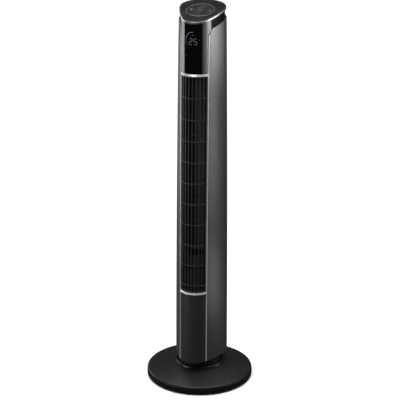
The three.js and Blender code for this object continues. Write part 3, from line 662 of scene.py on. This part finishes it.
def pierced_wall(stations, heights, inset, inner, opening):
    """A wall on a grid of stations and heights with the cells inside the opening left out. Wherever a kept
    cell has no kept neighbour, a face joins the outer skin to the inner one."""
    rows, columns = len(heights), len(stations)
    s = np.broadcast_to(stations[None, :], (rows, columns))
    outer, inside = place(s, inset, heights), place(s, inner, heights)
    ids = np.arange(rows * columns).reshape(rows, columns)
    far = rows * columns
    middle_s = (stations[:-1] + stations[1:]) / 2
    middle_z = (heights[:-1, :-1] + heights[1:, :-1]) / 2
    s0, s1, z0, z1 = opening
    kept = ~((middle_s[None] > s0) & (middle_s[None] < s1) & (middle_z > z0) & (middle_z < z1))
    a, b, c, d = ids[:-1, :-1][kept], ids[:-1, 1:][kept], ids[1:, 1:][kept], ids[1:, :-1][kept]
    faces = [np.stack([a, b, c, d], -1), far + np.stack([d, c, b, a], -1)]
    padded = np.pad(kept, 1)
    rises = padded[1:, 1:-1] != padded[:-1, 1:-1]
    low, high = ids[:, :-1][rises], ids[:, 1:][rises]
    faces.append(np.stack([low, high, far + high, far + low], -1))
    turns = padded[1:-1, 1:] != padded[1:-1, :-1]
    low, high = ids[:-1, :][turns], ids[1:, :][turns]
    faces.append(np.stack([low, high, far + high, far + low], -1))
    used, packed = np.unique(np.concatenate(faces), return_inverse=True)
    points = np.concatenate([outer.reshape(-1, 3), inside.reshape(-1, 3)])[used]
    return points, packed.reshape(-1, 4).tolist()


def soften(piece, width):
    """Round a piece's hard edges."""
    bevel = piece.modifiers.new("rounded_edges", "BEVEL")
    bevel.width = width * MM
    bevel.segments = 3
    bevel.limit_method = "ANGLE"
    bevel.angle_limit = math.radians(50)
    return piece


intake_low, intake_high = (corner[2] for corner in box_mm("rear_grille"))
intake_low, intake_high = intake_low - INTAKE_EDGE, intake_high + INTAKE_EDGE
back_s = np.r_[
    np.linspace(REAR_FROM, INTAKE_FROM, 7),
    np.linspace(INTAKE_FROM, 2 * HALF_ROUND - INTAKE_FROM, 60)[1:-1],
    np.linspace(2 * HALF_ROUND - INTAKE_FROM, 2 * HALF_ROUND - REAR_FROM, 7),
]
lower_rows = np.linspace(SHELL_BOTTOM, intake_low, 24)
middle_rows = np.linspace(intake_low, intake_high, 30)[1:]
upper_share = np.linspace(0, 1, 12)[1:, None]
upper_rows = intake_high + (shoulder(back_s)[None] - intake_high) * upper_share
back_z = np.concatenate([np.r_[lower_rows, middle_rows][:, None] + 0 * back_s[None], upper_rows])
intake = (INTAKE_FROM, 2 * HALF_ROUND - INTAKE_FROM, intake_low, intake_high)
rear_skin = pierced_wall(back_s, back_z, 0, 3.4, intake)
rear_piece = add_piece("rear_shell", rear_skin, housing_black, "tower", "black_plastic", "rear_housing")
soften(rear_piece, 0.7)


for side, start, end in (("right", LINER_FROM, REAR_FROM + 3), ("left", -REAR_FROM - 3, -LINER_FROM)):
    liner = wall(start, end, 3, 5, 72.5, shoulder, radius=0.3, rows=12, step=6)
    add_piece(f"rear_liner_{side}", liner, housing_black, "tower", "black_plastic")

# ---- The intake grille ---------------------------------------------------------------------------
# A lattice of slim uprights and level bars, moulded in one with its frame, which clips into the back of the
# housing and keeps fingers off the impeller.

SLAT_PITCH = 10
SLAT_SIDE_COUNT = 6
SLAT_HALF = 1.3
REAR_BAR_PITCH = 27
REAR_BAR_MIDDLE = 640
REAR_BAR_SIDE_COUNT = 8

grille_low, grille_high = (corner[2] for corner in box_mm("rear_grille"))
side_s = INTAKE_FROM + GAP
far_s = 2 * HALF_ROUND - side_s
slats = [HALF_ROUND + k * SLAT_PITCH for k in range(-SLAT_SIDE_COUNT, SLAT_SIDE_COUNT + 1)]
bar_steps = range(-REAR_BAR_SIDE_COUNT, REAR_BAR_SIDE_COUNT + 1)
rear_bars = [REAR_BAR_MIDDLE + k * REAR_BAR_PITCH for k in bar_steps]
lattice = [upright(s - SLAT_HALF, s + SLAT_HALF, 0.3, 3.4, grille_low, grille_high, 0.7, 24) for s in slats]
lattice += [level(side_s, far_s, 0.9, 3.0, z - 1.2, z + 1.2, 0.5, 3) for z in rear_bars]
lattice += [upright(s, s + 1.8, 0.3, 3.4, grille_low, grille_high, 0.4, 24) for s in (side_s, far_s - 1.8)]
lattice += [level(side_s, far_s, 0.3, 3.4, z, z + 4, 0.6, 3) for z in (grille_low, grille_high - 4)]
add_piece("intake_lattice", joined(lattice), housing_black, "tower", "black_plastic", "rear_grille")

# ---- The rear screws and the cord's gland --------------------------------------------------------
# Zinc-plated screws hold the back to the front. A rubber gland lines the hole low in the back where the
# supply cord would come out.

REAR_SCREW_STATION = INTAKE_FROM - 7

for side, sign in (("right", 1), ("left", -1)):
    for row in (1, 2):
        node = f"rear_screw_{side}_{row}"
        low, high = box_mm(node)
        middle = (low + high) / 2
        along = place(REAR_SCREW_STATION + np.array([-1, 1]), 0, middle[2])
        outward = np.array([sign * (along[1, 1] - along[0, 1]), along[0, 0] - along[1, 0], 0])
        outward /= np.linalg.norm(outward)
        head = screw_head(middle - 0.62 * outward, outward, 3.4, 1.24)
        add_piece(f"{node}_head", head, zinc_steel, "tower", "steel", node)

gland_low, gland_high = box_mm("cord_gland")
gland_z = (gland_low[2] + gland_high[2]) / 2
gland_profile = fillet(
    [
        (3.6, gland_low[1], 0.3),
        (5.9, gland_low[1], 0.3),
        (5.9, gland_high[1] - 2.8, 0.1),
        (8.4, gland_high[1] - 2.8, 0.3),
        (7.4, gland_high[1], 1.4),
        (3.6, gland_high[1], 0.8),
    ]
)
gland_points, gland_faces = turned(gland_profile, sides=64)
gland_points = np.stack([gland_points[:, 0], gland_points[:, 2], gland_z - gland_points[:, 1]], -1)
add_piece("gland", (gland_points, gland_faces), rubber, "tower", "rubber", "cord_gland")

# ---- The front grille ----------------------------------------------------------------------------
# Nine upright fins joined by ten slim level bars, one black moulding. The fins are deep, so the dark space
# of the impeller shows only between them.

GRILLE_EDGE = 43.6
FIN_PITCH = 10.37
FIN_SIDE_COUNT = 4
FIN_HALF = 1.75
BAR_PITCH = 59
BAR_TOP = 833
BAR_COUNT = 10

fin_black = textured_plastic("fin_black", (0.02, 0.02, 0.021), (0.027, 0.027, 0.028), 0.34, 0.46, 1.2e-5)
front_low, front_high = (corner[2] for corner in box_mm("front_grille"))
fins = [k * FIN_PITCH for k in range(-FIN_SIDE_COUNT, FIN_SIDE_COUNT + 1)]
bars = [BAR_TOP - i * BAR_PITCH for i in range(BAR_COUNT)]
grille_parts = [upright(s - FIN_HALF, s + FIN_HALF, 0.8, 6.5, front_low, front_high, 1.5, 40) for s in fins]
grille_parts += [level(-GRILLE_EDGE, GRILLE_EDGE, 1.3, 5, z - 1.1, z + 1.1, 0.9, 2) for z in bars]
rails = (front_low, front_high - 3)
grille_parts += [level(-GRILLE_EDGE, GRILLE_EDGE, 0.8, 6.5, z, z + 3, 0.6, 2) for z in rails]
add_piece("grille_fins", joined(grille_parts), fin_black, "tower", "black_plastic", "front_grille")

# ---- The cover behind the grille's foot ----------------------------------------------------------
# A ribbed plate that hides the motor below the impeller. It is moulded in the dark inner plastic, and its
# upright ribs run on behind the fins.

RIB_PITCH = 5.185
RIB_SIDE_COUNT = 7

cover_grey = textured_plastic("cover_grey", (0.04, 0.04, 0.041), (0.05, 0.05, 0.052), 0.42, 0.55, 1.5e-5)
hide_low, hide_high = (corner[2] for corner in box_mm("motor_cover"))
ribs = [k * RIB_PITCH for k in range(-RIB_SIDE_COUNT, RIB_SIDE_COUNT + 1)]
hide_parts = [wall(-40, 40, 9, 11, hide_low, hide_high, radius=0.5, rows=8)]
hide_parts += [upright(s - 0.8, s + 0.8, 7.6, 9.4, hide_low + 1, hide_high - 1, 0.6, 10) for s in ribs]
add_piece("motor_screen", joined(hide_parts), cover_grey, "tower", "inner_plastic", "motor_cover")

# ---- The lower front panel -----------------------------------------------------------------------
# A plain black panel under the grille, with the same fine grain as the housing, held by hooks behind the
# strips.

panel_low, panel_high = (corner[2] for corner in box_mm("lower_front_panel"))
front_plastic = textured_plastic(
    "front_plastic", (0.026, 0.026, 0.027), (0.032, 0.032, 0.033), 0.4, 0.5, 1.2e-5
)
lower_panel = wall(-GRILLE_EDGE, GRILLE_EDGE, 0.4, 3, panel_low, panel_high, radius=0.8, rows=16)
add_piece("lower_skin", lower_panel, front_plastic, "tower", "black_plastic", "lower_front_panel")

# ---- The level trims -----------------------------------------------------------------------------
# Two bright bands, plated like the strips, across the front above and below the grille. Each stands proud
# low down, leans back above, and clips over the panel's edge.

TRIM_LOW_INSET = -0.5
TRIM_TOP_INSET = 1.5
TRIM_BACK = 3
trim_s = np.linspace(-GRILLE_EDGE, GRILLE_EDGE, 58)[:, None]
for name in ("upper_trim", "lower_trim"):
    low, high = (corner[2] for corner in box_mm(name))
    section = fillet(
        [
            (TRIM_LOW_INSET, low, 1.2),
            (TRIM_LOW_INSET, low + 1.6, 2.0),
            (TRIM_TOP_INSET, high, 1.6),
            (TRIM_BACK, high, 0.1),
            (TRIM_BACK, low, 0.1),
        ]
    )[None]
    bowed = loft(place(trim_s, section[..., 0], section[..., 1]))
    add_piece(f"silver_{name}", bowed, silver_plate, "tower", "silver_trim", name)

# ---- The head ------------------------------------------------------------------------------------
# The metallic grey frame of the display: a pillar each side of the black window, widening above the strips
# into a wing that overlaps the neck.

LENS_EDGE = 25.5
HEAD_EDGE = 56
HEAD_INSET = 1.2
CAP_THICK = 6
head_low = box_mm("head_shell")[0][2]
wing_low = box_mm("trim_strip_right")[1][2] + 1.5


def wing_bottom(station):
    """The wing's lower edge: level over the strip, then along the shoulder with an even gap."""
    over_strip = from_front(station) < PANEL_FROM - 0.2
    return np.where(over_strip, wing_low, np.maximum(wing_low, shoulder(station) + 1.6))


def head_top(station):
    """The underside of the cap, less a thin gap."""
    return slope_height(station, HEAD_INSET, CAP_THICK + GAP)


for side, sign in (("right", 1), ("left", -1)):
    s_rows = np.r_[
        np.linspace(LENS_EDGE + GAP, GRILLE_EDGE, 12),
        np.linspace(GRILLE_EDGE, PANEL_FROM - 0.2, 5)[1:],
        np.linspace(PANEL_FROM, HEAD_EDGE, 14),
    ]
    edge_top, edge_low = head_top(s_rows), wing_bottom(s_rows)
    share = np.linspace(0, 1, 10)[1:, None]
    pillar_z = np.linspace(head_low, wing_low, 20)[:, None] + 0 * s_rows[None]
    pillar_z[-1] = edge_low
    wing_z = edge_low[None] + (edge_top - edge_low)[None] * share
    heights = np.concatenate([pillar_z, wing_z])
    beside_strip = (GRILLE_EDGE, HEAD_EDGE + 1, head_low - 1, wing_low - 1e-6)
    shell = pierced_wall(s_rows, heights, HEAD_INSET, 3.4, beside_strip)
    points = shell[0] * np.array([sign, 1, 1])
    replaced = ("head_shell",) if side == "right" else ()
    head = add_piece(f"head_{side}", (points, shell[1]), metallic_grey, "tower", "grey_paint", *replaced)
    soften(head, 0.5)

# ---- The display ---------------------------------------------------------------------------------
# A window of polished black acrylic, curved with the nose. The figures behind it show only when they are
# lit: an arc of the speed scale, two digits, and small signs.

LENS_INSET = 0.9
INK_HEIGHT = 0.06
SCALE_MIDDLE = 991
SCALE_R = 21
DIGIT_WIDE = 7.4
DIGIT_HIGH = 15.6
DIGIT_LOW = 979.2
BAR_WIDE = 1.15
BAR_GAP = 0.5
DIGIT_BARS = {
    "low": (0, 0, 1, 0),
    "middle": (0, 1, 1, 1),
    "top": (0, 2, 1, 2),
    "lower_left": (0, 0, 0, 1),
    "upper_left": (0, 1, 0, 2),
    "lower_right": (1, 0, 1, 1),
    "upper_right": (1, 1, 1, 2),
}

lens_black = finish_of("lens_black", (0.003, 0.003, 0.0035), 0.06, specular=0.1)
vary_roughness(lens_black, noise_in(lens_black, 25, 4), 0.04, 0.1)
lens = wall(-LENS_EDGE, LENS_EDGE, LENS_INSET, 2.8, head_low, head_top, radius=0.5, rows=24, step=1.2)
add_piece("display_window", lens, lens_black, "tower", "gloss_black", "display_lens")


def drawn_line(x, y, width, onto):
    """A thin raised line along a path on a face: the path moved by half the width to each side. The function
    onto turns (x, y, height above the face) into points."""
    dx, dy = np.gradient(x), np.gradient(y)
    size = np.hypot(dx, dy)
    nx, ny = -dy / size * width / 2, dx / size * width / 2
    left, right = (x + nx, y + ny), (x - nx, y - ny)
    ring = [(*left, INK_HEIGHT), (*right, INK_HEIGHT), (*right, -INK_HEIGHT), (*left, -INK_HEIGHT)]
    return loft(np.stack([onto(*corner) for corner in ring], 1))


def drawn_arc(x, y, radius, start, end, width, onto):
    """A line along an arc, its angles in degrees."""
    angle = np.radians(np.linspace(start, end, 28))
    return drawn_line(x + radius * np.cos(angle), y + radius * np.sin(angle), width, onto)


def drawn_straight(x0, y0, x1, y1, width, onto):
    """A straight line between two points."""
    t = np.linspace(0, 1, 3)
    return drawn_line(x0 + (x1 - x0) * t, y0 + (y1 - y0) * t, width, onto)


def on_lens(station, z, height):
    """A station and a height up the window, raised above its face."""
    return place(station, LENS_INSET - height, z + 0 * station)


def digit(left, bars):
    """A seven-bar digit. Each bar runs between two corners, given in widths and half heights, and stops short
    of them by a gap."""
    half = DIGIT_HIGH / 2
    strokes = []
    for x0, y0, x1, y1 in (DIGIT_BARS[bar] for bar in bars):
        gap_x, gap_y = BAR_GAP * (x1 - x0), BAR_GAP * (y1 - y0)
        x0, x1 = left + x0 * DIGIT_WIDE + gap_x, left + x1 * DIGIT_WIDE - gap_x
        y0, y1 = DIGIT_LOW + y0 * half + gap_y, DIGIT_LOW + y1 * half - gap_y
        strokes.append(drawn_straight(x0, y0, x1, y1, BAR_WIDE, on_lens))
    return strokes


lit_white = finish_of("lit_white", (0.02, 0.02, 0.022), 0.4)
lit_sockets = lit_white.node_tree.nodes["Principled BSDF"].inputs
lit_sockets["Emission Color"].default_value = (0.8, 0.88, 1.0, 1)
lit_sockets["Emission Strength"].default_value = 0.15
vary_roughness(lit_white, noise_in(lit_white, 300, 2), 0.35, 0.45)
lit_faint = lit_white.copy()
lit_faint.name = "lit_faint"
lit_faint.node_tree.nodes["Principled BSDF"].inputs["Emission Strength"].default_value = 0.05
lit = [drawn_arc(0.5, SCALE_MIDDLE, SCALE_R, 90, 172, 1.5, on_lens)]
lit.append(drawn_straight(-1.0, 1004, 2.0, 1004, 1.2, on_lens))
lit.append(drawn_straight(17, 992, 18.4, 992, 1.4, on_lens))
lit += digit(-9.4, ("top", "upper_right", "middle", "lower_left", "low"))
lit += digit(2.8, ("top", "upper_left", "middle", "lower_right", "low"))
add_piece("lit_scale_and_digits", joined(lit), lit_white, "tower", "lit_figures")
faint = [drawn_arc(0.5, SCALE_MIDDLE, SCALE_R, 174, 222, 1.3, on_lens)]
faint.append(drawn_arc(-20, 947.5, 2.4, 30, 150, 0.9, on_lens))
add_piece("lit_scale_rest", joined(faint), lit_faint, "tower", "lit_figures")

# ---- The neck ------------------------------------------------------------------------------------
# A plain dull black wall joins the housing to the cap. It stands just inside the side panels, and well in at
# the back, where fingers go under the cap to lift the fan. A ledge closes the top of the housing round it.

NECK_FROM = 56.6
NECK_SIDE_INSET = 3.2
NECK_BACK_INSET = 34
LEDGE_DROP = 31.5
NECK_SEAT = 0.6
NECK_CLEAR_OF_LINER = 5.2
LEDGE_SIDE_INSET = 6.2
LEDGE_BACK_INSET = 3.8
LEDGE_THICK = 2.2


def neck_inset(station):
    """How far the neck stands in: it eases by 3t^2 - 2t^3 from the side value to the back value."""
    share = np.clip((from_front(station) - 130) / 70, 0, 1)
    return NECK_SIDE_INSET + (NECK_BACK_INSET - NECK_SIDE_INSET) * share**2 * (3 - 2 * share)


def neck_inner(station):
    """The inner face of the neck's wall."""
    return neck_inset(station) + 2.5


def neck_low(station):
    """The neck's foot: on the liner at the sides, and just above the ledge at the back."""
    past_liner = np.maximum(0, neck_inset(station) - NECK_CLEAR_OF_LINER)
    on_liner = SHOULDER_DROP - NECK_SEAT + corner_drop(station) + 3 * past_liner
    return slope_height(station, neck_inset(station), np.minimum(LEDGE_DROP - GAP, on_liner))


def neck_high(station):
    """The neck's top, just under the cap."""
    return slope_height(station, neck_inset(station), CAP_THICK + GAP)


neck_black = textured_plastic(
    "neck_black", (0.003, 0.003, 0.0033), (0.005, 0.005, 0.0055), 0.34, 0.44, 1.2e-5, specular=0.05
)
neck_to = 2 * HALF_ROUND - NECK_FROM
neck_wall = wall(NECK_FROM, neck_to, neck_inset, neck_inner, neck_low, neck_high, 0.5, 8, 4)
add_piece("neck_wall", neck_wall, neck_black, "tower", "black_plastic", "neck")


def sloped_ring(stations, insets, drops, closed):
    """A section of (inset, drop below the top's plane) points carried round the housing."""
    z = slope_height(stations, insets, drops)
    return loft(place(stations, insets, z), closed=closed)


ledge_s = np.linspace(NECK_FROM, neck_to, 120)[:, None]
ledge_inner = neck_inset(ledge_s) + 6
share = np.clip((from_front(ledge_s) - 180) / 10, 0, 1)
ledge_outer = LEDGE_SIDE_INSET + (LEDGE_BACK_INSET - LEDGE_SIDE_INSET) * share
ledge_insets = np.concatenate([ledge_outer, ledge_inner, ledge_inner, ledge_outer], 1)
ledge_low = LEDGE_DROP + LEDGE_THICK
ledge_drops = np.array([[LEDGE_DROP, LEDGE_DROP, ledge_low, ledge_low]])
ledge = sloped_ring(ledge_s, ledge_insets, ledge_drops + 0 * ledge_s, closed=False)
add_piece("neck_ledge", ledge, housing_black, "tower", "black_plastic", "shoulder_ledge")

# ---- The cap -------------------------------------------------------------------------------------
# The sloping top: a satin black moulding with a round well for the keys. A plated band is pressed round its
# edge and covers its joint with the head.

CAP_PIVOT_Y = 0
WELL_R = 38.5
CAP_STEP = 2.0
CAP_EDGE = 2.8
BAND_INNER = 2.4
BAND_DROP = 0.6


def on_cap(x, y, height):
    """Cap coordinates to the housing's: the plane is turned about X by the tilt, about the keys' middle."""
    pivot_z = TOP_AT_AXIS + CAP_PIVOT_Y * math.tan(TILT)
    up, across = y * math.sin(TILT) + height * math.cos(TILT), y * math.cos(TILT) - height * math.sin(TILT)
    return np.stack(np.broadcast_arrays(x, CAP_PIVOT_Y + across, pivot_z + up), -1)


cap_black = finish_of("cap_black", (0.01, 0.01, 0.011), 0.3, specular=0.35)
vary_colour(cap_black, noise_in(cap_black, 1200, 3), (0.005, 0.005, 0.006), (0.009, 0.009, 0.01))
vary_roughness(cap_black, noise_in(cap_black, 22, 5), 0.24, 0.38)
emboss(cap_black, noise_in(cap_black, 1900, 2), 4e-6)
cap_s = all_round(CAP_STEP)[:, None]
a = np.linspace(0, np.pi / 2, ROUND_STEPS)[None]
edge = CAP_EDGE + 0 * cap_s
roll = 1.6
rolled_in, rolled_down = roll * (1 - np.sin(a)), roll * (1 - np.cos(a))
cap_insets = np.concatenate([edge + roll + 0.4, edge + rolled_in, edge, edge], 1)
drops = [0, *rolled_down[0], CAP_THICK - 0.5, CAP_THICK]
cap_drops = np.array([drops]) + 0 * cap_s
cap_rim = place(cap_s, cap_insets, slope_height(cap_s, cap_insets, cap_drops))
toward = np.arctan2((cap_rim[:, 0, 1] - CAP_PIVOT_Y) / math.cos(TILT), cap_rim[:, 0, 0])[:, None]
well_top = on_cap(WELL_R * np.cos(toward), WELL_R * np.sin(toward), 0.0)
well_low = on_cap(WELL_R * np.cos(toward), WELL_R * np.sin(toward), -CAP_THICK * math.cos(TILT))
share = np.linspace(0, 1, 5)[None, :, None]
cap_flat = well_top + (cap_rim[:, :1] - well_top) * share[:, :-1]
add_piece(
    "cap_top",
    loft(np.concatenate([well_low, cap_flat, cap_rim], 1), closed=True),
    cap_black,
    "tower",
    "gloss_black",
    "top_cap",
)

band_silver = finish_of("band_silver", (0.38, 0.38, 0.385), 0.34, metallic=1.0)
vary_roughness(band_silver, noise_in(band_silver, 60, 4), 0.3, 0.38)
band_s = all_round(CAP_STEP)[:, None]
band_section = fillet(
    [
        (HEAD_INSET, CAP_THICK, 0.6),
        (HEAD_INSET, BAND_DROP, 0.6),
        (BAND_INNER, BAND_DROP, 0.2),
        (BAND_INNER, CAP_THICK, 0.1),
    ]
)[None]
band = sloped_ring(band_s, band_section[..., 0] + 0 * band_s, band_section[..., 1] + 0 * band_s, closed=True)
add_piece("cap_silver_band", band, band_silver, "tower", "silver_trim", "cap_band")

# ---- The keys ------------------------------------------------------------------------------------
# Five glossy keys inside a thin bright ring: a round one for power in the middle, and four quarters of a
# ring round it. Each presses down on a rubber dome, and its sign is printed in grey.

KEY_TOP = 0.1
KEY_LOW = -4.2
POWER_R = 11.0
QUARTER_INNER = 11.5
QUARTER_OUTER = 36.4
QUARTER_GAP = 0.28
SIGN_RING = 25.5

key_black = finish_of("key_black", (0.014, 0.014, 0.015), 0.28, specular=0.5)
vary_roughness(key_black, noise_in(key_black, 40, 5), 0.22, 0.36)
ring_silver = finish_of("ring_silver", (0.3, 0.3, 0.305), 0.35, metallic=1.0)
vary_roughness(ring_silver, noise_in(ring_silver, 200, 3), 0.3, 0.42)


def flat_turned(profile, sides=160):
    """A profile turned about the cap's own axis."""
    points, faces = turned(profile, sides=sides)
    return on_cap(points[:, 0], points[:, 1], points[:, 2]), faces


ring = flat_turned(fillet([(36.9, -4.8, 0.1), (38.1, -4.8, 0.1), (38.1, 0.3, 0.4), (36.9, 0.3, 0.4)]))
add_piece("key_ring", ring, ring_silver, "tower", "silver_trim", "control_ring")

power_profile = fillet(
    [(0, KEY_LOW, 0), (POWER_R, KEY_LOW, 0.2), (POWER_R, KEY_TOP, 0.5), (0, KEY_TOP, 0)]
)
power = flat_turned(power_profile, 96)
add_piece("power_button", power, key_black, "key_power", "gloss_black", "key_power")


def quarter_key(middle):
    """A quarter of a ring. Its two straight sides keep an even gap to their neighbours: at radius r a side
    is turned in by arcsin(gap / r). Its section is carried from one side to the other."""
    section = fillet(
        [
            (QUARTER_INNER, KEY_LOW, 0.1),
            (QUARTER_OUTER, KEY_LOW, 0.1),
            (QUARTER_OUTER, KEY_TOP, 0.4),
            (QUARTER_INNER, KEY_TOP, 0.4),
        ]
    )[None]
    a = np.linspace(0, np.pi / 2, ROUND_STEPS)
    round_off = 0.4
    gap = np.r_[QUARTER_GAP + round_off * (1 - np.cos(a)), QUARTER_GAP + round_off]
    sink = np.r_[round_off * (1 - np.sin(a)), 0]
    way = np.linspace(-1, 1, 40)
    way = np.r_[-np.ones(len(gap)), way[1:-1], np.ones(len(gap))][:, None]
    gap = np.r_[gap, np.full(38, gap[-1]), gap[::-1]][:, None]
    sink = np.r_[sink, np.zeros(38), sink[::-1]][:, None]
    angle = middle + way * (np.pi / 4 - np.arcsin(gap / section[..., 0]))
    top = np.minimum(section[..., 1], KEY_TOP - sink)
    x, y = section[..., 0] * np.cos(angle), section[..., 0] * np.sin(angle)
    return loft(on_cap(x, y, top))


QUARTERS = {"key_speed": 0.0, "key_mode": np.pi / 2, "key_timer": np.pi, "key_swing": -np.pi / 2}
for node, middle in QUARTERS.items():
    add_piece(f"{node}_pad", quarter_key(middle), key_black, node, "gloss_black", node)


def on_key(x, y, height):
    """A point on the keys' tops."""
    return on_cap(x, y, KEY_TOP + height)


def arc_line(*shape):
    """A printed arc on a key."""
    return drawn_arc(*shape, on_key)


def straight(*shape):
    """A printed straight line on a key."""
    return drawn_straight(*shape, on_key)


ink = finish_of("printed_grey", (0.36, 0.36, 0.37), 0.5)
vary_colour(ink, noise_in(ink, 900, 3), (0.32, 0.32, 0.33), (0.4, 0.4, 0.41))
faint_ink = finish_of("printed_faint", (0.17, 0.17, 0.175), 0.5)
vary_colour(faint_ink, noise_in(faint_ink, 900, 3), (0.15, 0.15, 0.155), (0.19, 0.19, 0.195))
power_sign = joined([arc_line(0, 0, 3.2, 120, 420, 0.9), straight(0, 0.6, 0, 4.2, 0.9)])
steps = [(SIGN_RING + x, high) for x, high in ((-2, 1.8), (0, 3.2), (2, 4.6))]
speed_sign = joined([straight(x, -2.2, x, -2.2 + high, 1.1) for x, high in steps])
timer_sign = joined(
    [
        arc_line(-SIGN_RING, 0, 2.6, 0, 360, 0.9),
        straight(-SIGN_RING, 0, -SIGN_RING, 1.9, 0.7),
        straight(-SIGN_RING, 0, -SIGN_RING + 1.5, 0, 0.7),
    ]
)
swing_sign = joined(
    [
        arc_line(0, -SIGN_RING - 2, 4, 40, 140, 0.9),
        straight(0, -SIGN_RING - 1.6, 0, -SIGN_RING + 0.8, 0.8),
    ]
)
waves = ((-1.5, 0, 180), (1.5, 180, 360))
mode_sign = joined([arc_line(x, SIGN_RING, 1.5, start, end, 0.8) for x, start, end in waves])
SIGNS = {
    "key_power": (power_sign, faint_ink),
    "key_speed": (speed_sign, ink),
    "key_timer": (timer_sign, ink),
    "key_swing": (swing_sign, faint_ink),
    "key_mode": (mode_sign, faint_ink),
}
for node, (sign, colour) in SIGNS.items():
    add_piece(f"{node}_sign", sign, colour, node, "lit_figures")

# ---- The boards ----------------------------------------------------------------------------------
# Bare green circuit boards stand behind the window, under the keys and in the foot. The rubber mat over the
# control board holds the domes that spring the keys.

board_green = finish_of("board_green", (0.03, 0.1, 0.045), 0.42, coat=0.2)
tracks = noise_in(board_green, 420, 1, (1, 1, 0.15))
vary_colour(board_green, tracks, (0.018, 0.07, 0.03), (0.05, 0.15, 0.07), span=(0.47, 0.53))
emboss(board_green, noise_in(board_green, 420, 1, (1, 1, 0.15)), 3e-5)
for node in ("display_board", "control_board", "power_board"):
    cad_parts[node].material_slots[0].material = board_green
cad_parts["key_mat"].material_slots[0].material = rubber
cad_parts["led_display"].material_slots[0].material = inner_plastic

# ---- The impeller --------------------------------------------------------------------------------
# A cross-flow rotor: slim curved blades between discs, moulded in sections and welded end to end. A steel
# axle turns in a rubber-bushed bearing above it, and the motor drives it from below.

BLADE_COUNT = 34
BLADE_INNER = 36.5
BLADE_OUTER = 45.2
DISC_COUNT = 7
DISC_THICK = 2.0
IMPELLER_R = 46
IMPELLER_Y = 8

impeller_low = box_mm("impeller")[0][2]
impeller_high = box_mm("impeller")[1][2] - 12
disc_z = np.linspace(impeller_low, impeller_high - DISC_THICK, DISC_COUNT)


def blade(turn_to):
    """An arc-shaped strip: from the inner to the outer radius its angle grows by 14 degrees as t^1.6, and its
    thickness swells and thins as sin(pi t)."""
    t = np.linspace(0, 1, 7)
    radius = BLADE_INNER + (BLADE_OUTER - BLADE_INNER) * t
    angle = turn_to + math.radians(14) * t**1.6
    half = (0.25 + 0.35 * np.sin(np.pi * t)) / radius
    ring_angle = np.r_[angle - half, (angle + half)[::-1]]
    ring_radius = np.r_[radius, radius[::-1]]
    x, y = ring_radius * np.cos(ring_angle), IMPELLER_Y + ring_radius * np.sin(ring_angle)
    z = np.array([impeller_low + 0.5, impeller_high - 0.5])[:, None] + 0 * x[None]
    return loft(np.stack([x + 0 * z, y + 0 * z, z], -1))


centre = (0, IMPELLER_Y)
rotor_parts = [blade(2 * np.pi * i / BLADE_COUNT) for i in range(BLADE_COUNT)]
for i, z in enumerate(disc_z):
    hole = 4.4 if i == 0 else (0.5 if i == DISC_COUNT - 1 else 34.5)
    z_top = z + DISC_THICK
    disc = fillet([(hole, z, 0.2), (IMPELLER_R, z, 0.5), (IMPELLER_R, z_top, 0.5), (hole, z_top, 0.2)])
    rotor_parts.append(turned(disc, centre, 96))
hub_high = impeller_low + 16
hub_profile = fillet(
    [(4.4, impeller_low, 0.2), (11, impeller_low, 0.2), (11, hub_high, 1), (4.4, hub_high, 0.2)]
)
axle_low, axle_high = impeller_high - 1, impeller_high + 12
axle_profile = fillet([(0, axle_low, 0), (4, axle_low, 0.1), (4, axle_high, 0.5), (0, axle_high, 0)])
rotor_parts += [turned(hub_profile, centre, 48), turned(axle_profile, centre, 48)]
add_piece("impeller_blades", joined(rotor_parts), inner_plastic, "rotor", "inner_plastic", "impeller")

for node in ("motor_rotor", "motor_can"):
    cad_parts[node].material_slots[0].material = zinc_steel
for node in ("motor_plate", "bearing_plate", "air_guide", "air_cutoff"):
    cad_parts[node].material_slots[0].material = inner_plastic
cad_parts["bearing_bush"].material_slots[0].material = rubber
